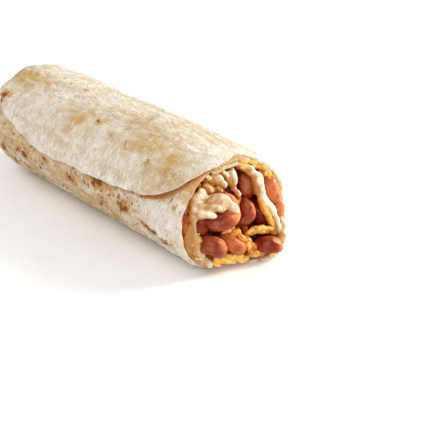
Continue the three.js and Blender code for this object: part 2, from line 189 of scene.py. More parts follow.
def loft(rings: Array, first: Array, last: Array) -> tuple[Array, Faces]:
    """Joins rings of points, with a point closing each end, into one closed body.

    Args:
        rings: Rings of equal length, turning clockwise as seen from the last one.
        first: Point that closes the first ring.
        last: Point that closes the last ring.

    Returns:
        The vertices and the faces, which look outward.
    """
    rows, count = rings.shape[:2]
    points = np.concatenate([rings.reshape(-1, 3), [first, last]])
    last_row = (rows - 1) * count
    start, end = rows * count, rows * count + 1
    faces: Faces = []
    for i in range(count):
        j = (i + 1) % count
        faces.append((start, i, j))
        faces.append((end, last_row + j, last_row + i))
        faces.extend((r + i, r + count + i, r + count + j, r + j) for r in range(0, last_row, count))
    return points, faces


def settle(piece: Object, body: str, slot: str, *nodes: str) -> None:
    """Puts a finished piece into the frame.

    Args:
        piece: The piece.
        body: The body it moves with.
        slot: Name of a material slot; not used.
        *nodes: The nodes it stands for.
    """
    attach(piece, body)
    if nodes:
        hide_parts(*nodes)
    log.info("%s: %d faces", piece.name, len(piece.data.polygons))


# ------------------------------------------------------------------ the rolled form


@dataclass(frozen=True)
class Roll:
    """The rolled form that every part of the burrito is placed on."""

    length: float = 176 * MM
    width: float = 65 * MM
    height: float = 57 * MM
    sag: float = 2 * MM
    shut_scale: float = 0.955
    rounding: float = 16 * MM
    dimple: float = 3.2 * MM
    cap_radius: float = 12 * MM
    droop: float = 4.7 * MM
    droop_length: float = 50 * MM
    sheet: float = 1.8 * MM
    thinning: float = 0.42
    thinning_length: float = 30 * MM
    flap_gap: float = 0.7 * MM
    flap_lowest_angle: float = 82.5
    flap_lowest_at: float = 66 * MM
    flap_bow_to_end: float = 0.011
    flap_bow_to_mouth: float = 0.0013
    flap_corner_at: float = 128 * MM
    flap_corner_start: float = 3.2
    flap_corner_end: float = 0.34
    flap_corner_beyond: float = 0.5 * MM
    flap_merge_angle: float = -110
    flap_full_angle: float = 30
    rim_lean: float = 0.08
    rim_skew: float = 0.03
    rim_blend: float = 56 * MM
    lip_reach: float = 10 * MM
    lip_angle: float = 218
    lip_half_angle: float = 47
    notch: float = 4 * MM
    notch_angle: float = 150
    notch_half_angle: float = 42
    single_to: float = -20
    back_wall: float = 0.85
    back_wall_length: float = 26 * MM
    play: float = -0.2 * MM

    @property
    def corner_length(self) -> float:
        """Length of the sheet's bend round the shut end."""
        return self.rounding * math.pi / 2

    @property
    def full_length(self) -> float:
        """Distance along the sheet from the bend's start to the rim."""
        return self.corner_length + self.length - self.rounding

    def near_mouth(self, x: Array, over: float) -> Array:
        """Share that rises from 0 to 1 over the last stretch before the mouth."""
        return smooth(x - self.length + over, over)

    def rim_reach(self, angle: Array) -> Array:
        """How far the mouth's edge reaches along X at an angle."""
        y = -(self.width / 2) * np.sin(np.radians(angle))
        height = (self.height / 2) * np.cos(np.radians(angle))
        lip = 1 - smooth(abs(angle_between(angle, self.lip_angle)), self.lip_half_angle)
        notch = 1 - smooth(abs(angle_between(angle, self.notch_angle)), self.notch_half_angle)
        reach = self.length + self.rim_skew * y - self.rim_lean * height
        return reach + self.lip_reach * lip - self.notch * notch

    def lean(self, x: Array, angle: Array) -> Array:
        """Moves stations near the mouth until the last one follows the rim."""
        return x + (self.rim_reach(angle) - self.length) * self.near_mouth(x, self.rim_blend)

    def swell(self, x: Array, angle: Array) -> Array:
        """Shallow dents and swellings of the wall, outward positive, none underneath."""
        a = np.radians(angle)
        long = 0.5 * MM * np.sin(x / (23 * MM) + 1.1) * np.cos(a - 0.6)
        short = 0.3 * MM * np.sin(x / (11 * MM) + 2 * a) * np.cos(2 * a + 0.8)
        return (long + short) * smooth(120 - from_top(angle), 50)

    def dents(self, base: Array, angle: Array) -> Array:
        """Slow dents of the whole wall, the same for both turns, none underneath."""
        return lumps(base, 24 * MM, 2) * 0.9 * MM * smooth(150 - from_top(angle), 50)

    def section(self, x: Array) -> tuple[Array, Array, Array]:
        """The roll's section at a distance from the shut end.

        Args:
            x: Distance from the shut end.

        Returns:
            Half its width, half its height and the height of its middle.
        """
        half = (self.height + self.sag) / 2
        into_end = np.clip((self.rounding - x) / self.rounding, 0, 1)
        inset = self.rounding * (1 - np.sqrt(1 - into_end**2))
        along = np.clip(x / self.length, 0, 1)
        scale = lerp(self.shut_scale, 1, along) * (1 - inset / (self.height / 2))
        sink = np.clip((x - self.length + self.droop_length) / self.droop_length, 0, 1)
        upright = scale * (1 - (self.droop / self.height) * sink**2)
        middle = (self.height - half) * upright + (self.height / 2) * (1 - scale)
        return self.width / 2 * scale, half * upright, middle

    def point(self, x: Array, angle: Array, offset: Array | float = 0.0) -> Array:
        """Point on the wall.

        Args:
            x: Distance from the shut end.
            angle: Angle round the roll.
            offset: Distance outward from the wall.

        Returns:
            Points with their coordinates in the last axis, from the shut end's middle.
        """
        x, angle, offset = np.broadcast_arrays(x, angle, offset)
        a = np.radians(angle)
        out = offset + self.swell(x, angle)
        wide, high, middle = self.section(x)
        y = -(1 + out / (self.width / 2)) * wide * np.sin(a)
        z = middle + (1 + out / ((self.height + self.sag) / 2)) * high * np.cos(a)
        return np.stack([x, y, np.maximum(z, np.maximum(0, -offset))], axis=-1)

    def thin(self, x: Array) -> Array:
        """Share of the full thickness that the sheet has at a distance from the shut end."""
        return 1 - self.thinning * self.near_mouth(x, self.thinning_length)

    def wall(self, x: Array, angle: Array) -> Array:
        """Thickness of the sheet, which is greater at the back of the mouth."""
        back = smooth(self.single_to - angle, 14) * smooth(angle + 172, 25)
        near = self.near_mouth(x, self.back_wall_length)
        return self.sheet * self.thin(x) * (1 + self.back_wall * back * near)

    def lift(self, x: Array, angle: Array) -> Array:
        """How far the outer layer stands off the roll."""
        full = (self.sheet + self.flap_gap) * self.thin(x)
        return full * smooth(angle - self.flap_merge_angle, self.flap_full_angle - self.flap_merge_angle)

    def flap_edge(self, x: Array) -> Array:
        """Angle at which the outer layer's free edge lies."""
        to_end = self.flap_bow_to_end * np.maximum(0, (self.flap_lowest_at - x) / MM) ** 2
        to_mouth = self.flap_bow_to_mouth * np.maximum(0, (x - self.flap_lowest_at) / MM) ** 2
        corner_length = self.length + self.flap_corner_beyond - self.flap_corner_at
        corner = np.clip((x - self.flap_corner_at) / corner_length, 0, 1)
        rise = (1 - corner**self.flap_corner_start) ** self.flap_corner_end
        return (self.flap_lowest_angle - to_end - to_mouth) * rise

    def keep_inside(self, points: Array) -> Array:
        """Presses points that stick through the wall back to the inner face of the sheet.

        Args:
            points: Points from the shut end's middle.

        Returns:
            The same points, of which none is outside.
        """
        x, y, z = points.T
        wide, high, middle = self.section(x)
        angle = np.degrees(np.arctan2(-y / wide, (z - middle) / high))
        out = self.swell(x, angle) + self.dents(self.point(x, angle), angle)
        wall = self.wall(x, angle) + self.play
        depth = wall - out - smooth(self.single_to - angle, 10) * self.lift(x, angle)
        press = np.maximum(1, np.hypot(y / (wide - depth), (z - middle) / (high - depth)))
        return np.stack([x, y / press, np.maximum(middle + (z - middle) / press, wall)], axis=-1)

    def station(self, m: Array) -> Array:
        """Distance from the shut end at a distance m along the sheet from the bend's start."""
        bend = self.rounding * (1 - np.cos(np.clip(m, 0, self.corner_length) / self.rounding))
        return bend + np.maximum(0, m - self.corner_length)

    def surface(self, m: Array, angle: Array) -> Array:
        """Point on the wall or on the face of the shut end.

        Args:
            m: Distance along the sheet from the bend's start, negative on the end's face.
            angle: Angle round the roll.

        Returns:
            Points from the shut end's middle.
        """
        x = self.station(m)
        ring = self.point(self.lean(x, angle), angle)
        share = np.clip(1 + m / self.cap_radius, 0, 1)[..., None]
        face = lerp(np.array([self.dimple, 0, self.height / 2]), ring, share)
        face[..., 0] = self.dimple * (1 - smooth(share[..., 0], 0.62))
        return np.where((m < 0)[..., None], face, ring)

    def outward(self, m: Array, angle: Array) -> Array:
        """Direction out of the wall at a place on the sheet."""
        dm, da = 0.6 * MM, 1.0
        along = self.surface(m + dm, angle) - self.surface(m - dm, angle)
        around = self.surface(m, angle + da) - self.surface(m, angle - da)
        return unit(np.cross(around, along))


ROLL = Roll()
SHUT_END = np.array([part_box("tortilla")[0].x, 0, 0])


def place(points: Array) -> Array:
    """Moves points from the roll's own place, where X starts at the shut end, into the frame."""
    return points + SHUT_END


# ------------------------------------------------------------------ shader graphs


class Graph:
    """Adds and joins the nodes of one shader tree."""

    def __init__(self, tree: Tree) -> None:
        """Takes the tree that is to be filled."""
        self.tree = tree

    def feed(self, node: bpy.types.Node, inputs: dict[str | int, object]) -> None:
        """Links sockets to a node's inputs, or sets the inputs to plain values.

        Args:
            node: The node.
            inputs: A value or a socket for each named or numbered input.
        """
        for name, value in inputs.items():
            if isinstance(value, Socket):
                self.tree.links.new(value, node.inputs[name])
            else:
                node.inputs[name].default_value = value

    def node(self, kind: str, inputs: dict[str | int, object], **settings: object) -> bpy.types.Node:
        """Adds a node.

        Args:
            kind: The node's type, without its ShaderNode prefix.
            inputs: A value or a socket for each named or numbered input.
            **settings: The node's own properties.

        Returns:
            The node.
        """
        made = self.tree.nodes.new("ShaderNode" + kind)
        for name, value in settings.items():
            setattr(made, name, value)
        self.feed(made, inputs)
        return made

    def group(self, tree: Tree, **inputs: object) -> bpy.types.Node:
        """Places a node group with its own values."""
        return self.node("Group", inputs, node_tree=tree)

    def math(self, operation: str, *values: object) -> Socket:
        """Result of a calculation on numbers."""
        return self.node("Math", dict(enumerate(values)), operation=operation).outputs[0]

    def mix(self, share: object, first: object, second: object, kind: str = "RGBA") -> Socket:
        """Colour between two colours, or number between two numbers where kind is FLOAT."""
        a, b, result = (6, 7, 2) if kind == "RGBA" else (2, 3, 0)
        return self.node("Mix", {0: share, a: first, b: second}, data_type=kind).outputs[result]

    def layers(self, colour: object, *coats: tuple[Socket, Colour]) -> Socket:
        """Colour under coats of other colours, each laid on by its own share."""
        for share, coat in coats:
            colour = self.mix(share, colour, coat)
        return colour

    def span(self, value: object, low: float, high: float, start: float = 0, end: float = 1) -> Socket:
        """Eases from start to end as a value goes from low to high."""
        inputs = {0: value, 1: low, 2: high, 3: start, 4: end}
        return self.node("MapRange", inputs, interpolation_type="SMOOTHSTEP").outputs[0]

    def stir(self, value: object, by: Socket, gain: float) -> Socket:
        """A value that a noise around a half moves up and down."""
        return self.math("MULTIPLY_ADD", self.math("SUBTRACT", by, 0.5), gain, value)

    def noise(self, at: Socket, size: Socket | float, detail: float = 3, warp: float = 0) -> Socket:
        """Noise at a place, whose lumps have a given size, in metres."""
        scale = self.math("DIVIDE", 1.0, size) if isinstance(size, Socket) else 1 / size
        inputs = {"Vector": at, "Scale": scale, "Detail": detail, "Distortion": warp}
        return self.node("TexNoise", inputs).outputs["Fac"]

    def stretched(self, at: Socket, scale: Point) -> Socket:
        """Place whose axes are scaled, so that noise on it is drawn out along the small ones."""
        return self.node("Mapping", {"Vector": at, "Scale": scale}).outputs[0]

    def value(self, name: str) -> Socket:
        """A value that the vertices carry."""
        return self.node("Attribute", {}, attribute_name=name).outputs["Fac"]

    def here(self) -> Socket:
        """The place on the object, in metres."""
        return self.node("TexCoord", {}).outputs["Object"]

    def bump(self, height: Socket, depth: float) -> Socket:
        """Normal of a surface with a fine relief of a given depth, in metres."""
        return self.node("Bump", {"Distance": depth, "Height": height}).outputs[0]


def new_group(
    name: str, inputs: dict[str, str], outputs: dict[str, str]
) -> tuple[Graph, "bpy.types.bpy_prop_collection", bpy.types.Node]:
    """Starts a node group.

    Args:
        name: The group's name.
        inputs: Socket type of each input, by name.
        outputs: Socket type of each output, by name.

    Returns:
        Its graph, the sockets of its inputs by name, and its output node.
    """
    tree = bpy.data.node_groups.new(name, "ShaderNodeTree")
    for direction, sockets in (("INPUT", inputs), ("OUTPUT", outputs)):
        for key, kind in sockets.items():
            tree.interface.new_socket(key, in_out=direction, socket_type="NodeSocket" + kind)
    return Graph(tree), tree.nodes.new("NodeGroupInput").outputs, tree.nodes.new("NodeGroupOutput")


def mottle_group() -> Tree:
    """Uneven colour: two shades in soft patches with a finer grain, round a given shade."""
    numbers = dict.fromkeys(("Patches", "Grain", "Shade", "Contrast"), "Float")
    inputs = {"Place": "Vector", **numbers, "Dark": "Color", "Light": "Color"}
    graph, given, result = new_group("mottle", inputs, {"Color": "Color"})
    patches = graph.noise(given["Place"], given["Patches"], 4, 0.6)
    grain = graph.noise(given["Place"], given["Grain"], 2)
    uneven = graph.span(graph.math("MULTIPLY_ADD", grain, 0.5, patches), 0.5, 1.0, -0.5, 0.5)
    share = graph.span(graph.math("MULTIPLY_ADD", uneven, given["Contrast"], given["Shade"]), 0, 1)
    graph.feed(result, {"Color": graph.mix(share, given["Dark"], given["Light"])})
    return graph.tree


def wet_group() -> Tree:
    """A wet film that breaks up in places: how rough the surface is, and its fine relief."""
    inputs = {"Place": "Vector", **dict.fromkeys(("Size", "Wet", "Dry"), "Float")}
    graph, given, result = new_group("wet film", inputs, {"Roughness": "Float", "Height": "Float"})
    film = graph.noise(given["Place"], given["Size"], 3, 0.4)
    rough = graph.mix(graph.span(film, 0.35, 0.7), given["Wet"], given["Dry"], "FLOAT")
    graph.feed(result, {"Roughness": rough, "Height": film})
    return graph.tree


MOTTLE = mottle_group()
WET = wet_group()


def new_material(name: str, **plain: object) -> tuple[Material, Graph, bpy.types.Node]:
    """Starts a material.

    Args:
        name: The material's name.
        **plain: Values for the shader's own sockets, with _ for each space in a name.

    Returns:
        The material, its graph and its surface shader.
    """
    material = bpy.data.materials.new(name)
    material.use_nodes = True
    shader = material.node_tree.nodes["Principled BSDF"]
    for key, value in plain.items():
        shader.inputs[key.replace("_", " ")].default_value = value
    return material, Graph(material.node_tree), shader


# ------------------------------------------------------------------ finishes


@dataclass(frozen=True)
class TortillaFinish:
    """Soft flour tortilla: pale and floury, tanned in bands, with toasted marks and specks."""

    pale: Colour = rgb(234, 226, 212)
    cream: Colour = rgb(224, 209, 178)
    # flour is laid on the relief's ridges, partly flour dust and partly painted highlight; crease darkens its
    # valleys as painted shade
    flour: Colour = rgb(248, 242, 230)
    crease: Colour = rgb(200, 172, 122)
    # The tan colour is laid on the tanned bands and, as painted shadow, under the flap's edge.
    tan_and_shade: Colour = rgb(200, 155, 76)
    halo: Colour = rgb(200, 144, 66)
    speck: Colour = rgb(172, 98, 32)
    toast: Colour = rgb(132, 58, 8)
    # The orange colour is laid on stains and, under the flap's corner, also as painted shadow.
    stain_and_shading: Colour = rgb(198, 120, 38)
    fine_size: float = 1.1 * MM
    medium_size: float = 3.2 * MM
    streak_size: float = 7 * MM
    relief: float = 0.8 * MM

    def build(self) -> Material:
        """Makes the material. The sheet's vertices carry the values that it reads by name."""
        material, graph, shader = new_material(
            "flour tortilla", Subsurface_Radius=(1.0, 0.65, 0.4), Subsurface_Scale=2.0 * MM,
            Specular_IOR_Level=0.18, Sheen_Weight=0.05, Sheen_Roughness=0.5,
        )
        here = graph.here()
        sheet = self.unrolled(graph, here)
        ground = graph.group(
            MOTTLE, Place=here, Patches=9 * MM, Grain=2 * MM, Shade=0.6, Contrast=0.6,
            Dark=self.cream, Light=self.pale,
        )
        fine = graph.noise(here, self.fine_size)
        medium = graph.noise(here, self.medium_size, 4, 0.5)
        folds = self.folds(graph, sheet)
        low = graph.math("MULTIPLY_ADD", graph.value("raised"), 0.35, folds)
        toasted = self.toasted(graph, fine, medium)
        stain_and_shading_share = graph.math("MULTIPLY", graph.value("stain_and_shading"), graph.span(medium, 0.3, 0.7, 0.7, 1.2))
        colour = graph.layers(
            ground.outputs["Color"],
            (graph.span(self.tanned_and_shaded(graph, sheet, fine), 0.0, 1.35, 0, 0.95), self.tan_and_shade),
            # darker in the relief's valleys: painted shade; paler on its ridges: flour dust and painted
            # highlight
            (graph.span(low, 0.0, 0.3, 0.55, 0), self.crease),
            (graph.span(low, 0.5, 0.95, 0, 0.3), self.flour),
            (self.specks(graph, here, 4.2 * MM, 1.3, 0.5), self.halo),
            (self.specks(graph, here, 3.3 * MM, 0.6, 0.9), self.toast),
            (self.specks(graph, here, 2.4 * MM, 1.15, 0.8), self.speck),
            (graph.span(toasted, 0.08, 0.75, 0, 0.85), self.halo),
            (graph.span(toasted, 0.6, 1.0, 0, 0.95), self.toast),
            # orange stain, which under the flap's corner is also painted shadow
            (graph.span(stain_and_shading_share, 0.0, 0.9, 0, 0.95), self.stain_and_shading),
        )
        graph.feed(shader, {
            "Base Color": colour,
            "Subsurface Weight": graph.span(graph.value("thin"), 0, 1, 0.05, 0.8),
            "Roughness": graph.span(fine, 0.3, 0.75, 0.6, 0.85),
            "Normal": graph.bump(graph.math("MULTIPLY_ADD", fine, 0.35, folds), self.relief),
        })
        return material

    def unrolled(self, graph: Graph, here: Socket) -> Socket:
        """The place on the sheet laid flat: along the roll, round it, and inward on its shut end."""
        along = graph.node("SeparateXYZ", {0: here}).outputs[0]
        laid = {0: along, 1: graph.value("arc"), 2: graph.value("inward")}
        return graph.node("CombineXYZ", laid).outputs[0]

    def tanned_and_shaded(self, graph: Graph, sheet: Socket, fine: Socket) -> Socket:
        """How tanned the sheet is, with the painted shadow under the flap's edge: its bands, drawn out in
        streaks and broken up by fine noise.
        """
        streaks = graph.noise(graph.stretched(sheet, (0.35, 1, 1)), self.streak_size, 4, 1.2)
        bands = graph.math("MULTIPLY", graph.value("tan_and_shade"), graph.span(streaks, 0.2, 0.8, 0.55, 1.25))
        return graph.stir(graph.stir(bands, streaks, 0.6), fine, 0.35)

    def toasted(self, graph: Graph, fine: Socket, medium: Socket) -> Socket:
        """How toasted the sheet is: its marks, with ragged edges."""
        marks = graph.value("toast")
        both = graph.math("MULTIPLY_ADD", medium, 1.1, graph.math("MULTIPLY", fine, 0.9))
        ragged = graph.math("MULTIPLY", graph.math("SUBTRACT", both, 1.0), 1.3)
        return graph.math("MULTIPLY_ADD", ragged, graph.span(marks, 0, 0.3), marks)

    def specks(self, graph: Graph, here: Socket, cell: float, share: float, full: float) -> Socket:
        """Small browned specks, in cells of which only some hold one.

        Args:
            graph: The material's graph.
            here: The place on the object.
            cell: Size of a cell.
            share: Share of the carried density at which cells hold a speck.
            full: Strength of a speck's middle.

        Returns:
            How strong the specks are.
        """
        warp = graph.noise(here, 0.8 * MM, 2)
        cells = graph.node("TexVoronoi", {"Vector": here, "Scale": 1 / cell, "Randomness": 1.0})
        draw = graph.node("SeparateColor", {0: cells.outputs["Color"]})
        size = graph.math("MULTIPLY_ADD", draw.outputs[1], 0.35, graph.math("MULTIPLY", warp, 0.35))
        near = graph.math("SUBTRACT", size, cells.outputs["Distance"])
        likely = graph.math("MULTIPLY", graph.value("speck"), share)
        chosen = graph.math("SUBTRACT", likely, draw.outputs[0])
        both = graph.math("MINIMUM", graph.span(near, 0.0, 0.16), graph.span(chosen, 0, 0.1))
        return graph.math("MULTIPLY", both, full)

    def folds(self, graph: Graph, sheet: Socket) -> Socket:
        """Height of the fine wrinkles: along the roll on top, round it where it is pulled down."""
        heights = []
        for stretch in ((0.36, 1, 1), (1, 0.55, 1)):
            drawn = graph.stretched(sheet, stretch)
            height = 0.0
            for size, detail, warp, gain in ((1.7 * MM, 3, 1.2, 2.2), (4.2 * MM, 2, 1.6, 2.6)):
                off = graph.math("SUBTRACT", graph.noise(drawn, size, detail, warp), 0.5)
                height = graph.math("MULTIPLY_ADD", graph.math("ABSOLUTE", off), gain, height)
            heights.append(height)
        return graph.span(graph.mix(graph.value("pull"), *heights, "FLOAT"), 0.0, 0.9)


@dataclass(frozen=True)
class WetFinish:
    """Something moist in the filling: two shades in soft patches under a wet film."""

    name: str
    dark: Colour
    light: Colour
    patches: float
    contrast: float = 0.5
    wet: float = 0.2
    dry: float = 0.4
    relief: float = 0.1 * MM
    film: float = 2 * MM
    shine: float = 0.16
    gloss_colour: Colour = (1, 1, 1, 1)
    coat: float = 0.05
    soft: float = 0.2
    soft_radius: Point = (1.0, 0.35, 0.15)
    soft_depth: float = 1.5 * MM

    def build(self) -> Material:
        """Makes the material. The vertices carry shade, which goes from dark to light."""
        material, graph, shader = new_material(
            self.name, Subsurface_Weight=self.soft, Subsurface_Radius=self.soft_radius,
            Subsurface_Scale=self.soft_depth, Specular_IOR_Level=self.shine,
            Specular_Tint=self.gloss_colour, Coat_Weight=self.coat, Coat_Roughness=0.1,
        )
        here = graph.here()
        ground = graph.group(
            MOTTLE, Place=here, Patches=self.patches, Grain=0.7 * MM, Shade=graph.value("shade"),
            Contrast=self.contrast, Dark=self.dark, Light=self.light,
        )
        film = graph.group(WET, Place=here, Size=self.film, Wet=self.wet, Dry=self.dry)
        graph.feed(shader, {
            "Base Color": ground.outputs["Color"],
            "Roughness": film.outputs["Roughness"],
            "Normal": graph.bump(film.outputs["Height"], self.relief),
        })
        return material


class Wet(Enum):
    """The moist things in the open end."""

    # The bean's light colour shows mostly on the side towards the light, as a painted highlight.
    BEAN = WetFinish(
        "bean skin", rgb(120, 24, 3), rgb(236, 140, 84), 5 * MM, contrast=0.25, dry=0.38,
        relief=0.15 * MM, shine=0.28, gloss_colour=(1, 0.75, 0.5, 1), coat=0.12,
    )
    RICE = WetFinish(
        "seasoned rice", rgb(186, 88, 16), rgb(250, 190, 90), 2 * MM, wet=0.16, dry=0.36,
        soft=0.3, shine=0.3,
    )
    # Its dark colour is partly painted shade of the gaps among the beans; its light one, laid by the wall, is
    # partly painted light.
    CORE = WetFinish(
        "saucy filling", rgb(70, 14, 4), rgb(206, 136, 66), 4 * MM, contrast=0.3, dry=0.5,
        relief=0.5 * MM, shine=0.08,
    )
    CHEESE = WetFinish(
        "cheese sauce", rgb(178, 118, 42), rgb(232, 224, 196), 4 * MM, contrast=0.25, wet=0.12,
        dry=0.3, shine=0.42, coat=0.2, soft=0.3, soft_radius=(1.0, 0.7, 0.4), soft_depth=1.2 * MM,
    )
    GRAVY = WetFinish("orange sauce", rgb(172, 86, 22), rgb(224, 188, 122), 4 * MM, dry=0.45, soft=0.3)
    CHEDDAR = WetFinish("melted cheddar", rgb(194, 106, 30), rgb(236, 176, 84), 4 * MM, soft=0.35)
    CRUMB = WetFinish("cheese crumbs", rgb(212, 156, 80), rgb(236, 216, 168), 2 * MM, dry=0.5, soft=0.3)


@dataclass(frozen=True)
class FloorFinish:
    """Plain pale table top."""

    light: Colour = rgb(250, 249, 248)
    dark: Colour = rgb(246, 245, 243)

    def build(self) -> Material:
        """Makes the material."""
        material, graph, shader = new_material("pale table", Roughness=0.7)
        ground = graph.group(
            MOTTLE, Place=graph.here(), Patches=0.2, Grain=0.02, Shade=0.5, Contrast=1.0,
            Dark=self.dark, Light=self.light,
        )
        graph.feed(shader, {"Base Color": ground.outputs["Color"]})
        return material


# ------------------------------------------------------------------ tortilla


class Layer(Enum):
    """Which turn of the sheet something is on."""

    OUTER = "outer"
    UNDER = "under"


@dataclass(frozen=True)
class Mark:
    """A mark on the sheet: where its middle is, its half sizes in millimetres and its depth."""

    x: float
    angle: float
    along: float
    around: float
    depth: float = 1.0

    def field(self, x: Array, angle: Array, warp: Array) -> Array:
        """Height of the mark over the sheet: its depth in the middle and nothing outside."""
        dx = (x / MM - self.x + warp[0]) / self.along
        da = (arc(angle_between(angle, self.angle)) / MM + warp[1]) / self.around
        return self.depth * np.maximum(0, 1.25 - 0.7 * np.hypot(dx, da))


TOAST = {
    Layer.OUTER: (
        Mark(17.5, 48.5, 3.4, 3.4),
        Mark(22, 46, 1.8, 1.8, 0.7),
        Mark(62.9, 5, 2.8, 2.2, 0.5),
        Mark(94.4, 33.5, 2.8, 2.4, 0.62),
        Mark(108.3, 38.5, 2.6, 2.3, 0.48),
        Mark(122.5, 40.5, 2.5, 2.2, 0.64),
        Mark(142.8, 46.5, 2.5, 2.1, 0.6),
        Mark(157.3, 44, 2.0, 1.8, 0.55),
    ),
    Layer.UNDER: (
        Mark(19.9, 105.5, 3.4, 3),
        Mark(27, 118.5, 3.0, 2.4),
        Mark(36.4, 97, 3.0, 2.4, 0.9),
        Mark(41.7, 100, 3.4, 2.6, 1.1),
        Mark(63.3, 90, 3.2, 2.0, 0.9),
        Mark(85.5, 96.5, 5.0, 3.8, 0.9),
        Mark(91.6, 88, 1.2, 1.2),
        Mark(109.7, 84, 8.5, 4.2),
        Mark(118.5, 93.5, 1.2, 1.2, 0.9),
        Mark(130.2, 98, 4.6, 3.4, 1.1),
        Mark(134.9, 92.5, 1.3, 1.3),
        Mark(149.9, 104.5, 5.6, 2.2, 1.1),
        Mark(155.6, 106, 3.2, 1.8, 0.9),
        Mark(162.5, 111.5, 4.6, 2.0),
        Mark(166.2, 63, 2.0, 1.5, 0.9),
        Mark(169.9, 68, 1.5, 1.3, 0.8),
    ),
}

TAN = (
    Mark(23, 23.5, 15, 11),
    Mark(38, 20, 12, 8, 0.8),
    Mark(81, 37, 15, 10, 0.8),
    Mark(94, 33, 8, 7, 0.7),
    Mark(110, 38, 8, 7, 0.6),
    Mark(120.6, 13.5, 26, 7),
    Mark(140.8, 30, 24, 8),
    Mark(157, 45, 13, 10, 1.2),
    Mark(60, 8, 12, 7, 0.5),
)


@dataclass(frozen=True)
class Crease:
    """A crease that runs along the roll: from where to where, its angle, slant, depth and width."""

    start: float
    end: float
    angle: float
    slant: float
    depth: float
    width: float

    def field(self, x: Array, angle: Array) -> Array:
        """Depth of the crease over the sheet, in metres."""
        along = (x / MM - self.start) / (self.end - self.start)
        middle = self.angle + self.slant * along + 1.2 * np.sin(along * 7 + self.angle)
        fade = smooth(along, 0.25) * smooth(1 - along, 0.25)
        return self.depth * MM * bell(arc(angle_between(angle, middle)), self.width * MM) * fade


CREASES = (
    Crease(112, 176, -8, 5, 0.5, 1.3),
    Crease(96, 174, -16, 3, 0.55, 1.6),
    Crease(120, 178, -24, 6, 0.5, 1.3),
    Crease(84, 160, -29, -3, 0.5, 1.8),
    Crease(130, 177, -36, 2, 0.45, 1.5),
    Crease(60, 130, -20, 5, 0.35, 1.8),
    Crease(30, 96, -12, -4, 0.35, 1.6),
    Crease(104, 168, 66, 9, 0.4, 1.8),
    Crease(36, 90, 58, 8, 0.35, 2.0),
    Crease(140, 176, 118, 6, 0.4, 1.8),
    Crease(70, 140, 112, -6, 0.35, 2.0),
)


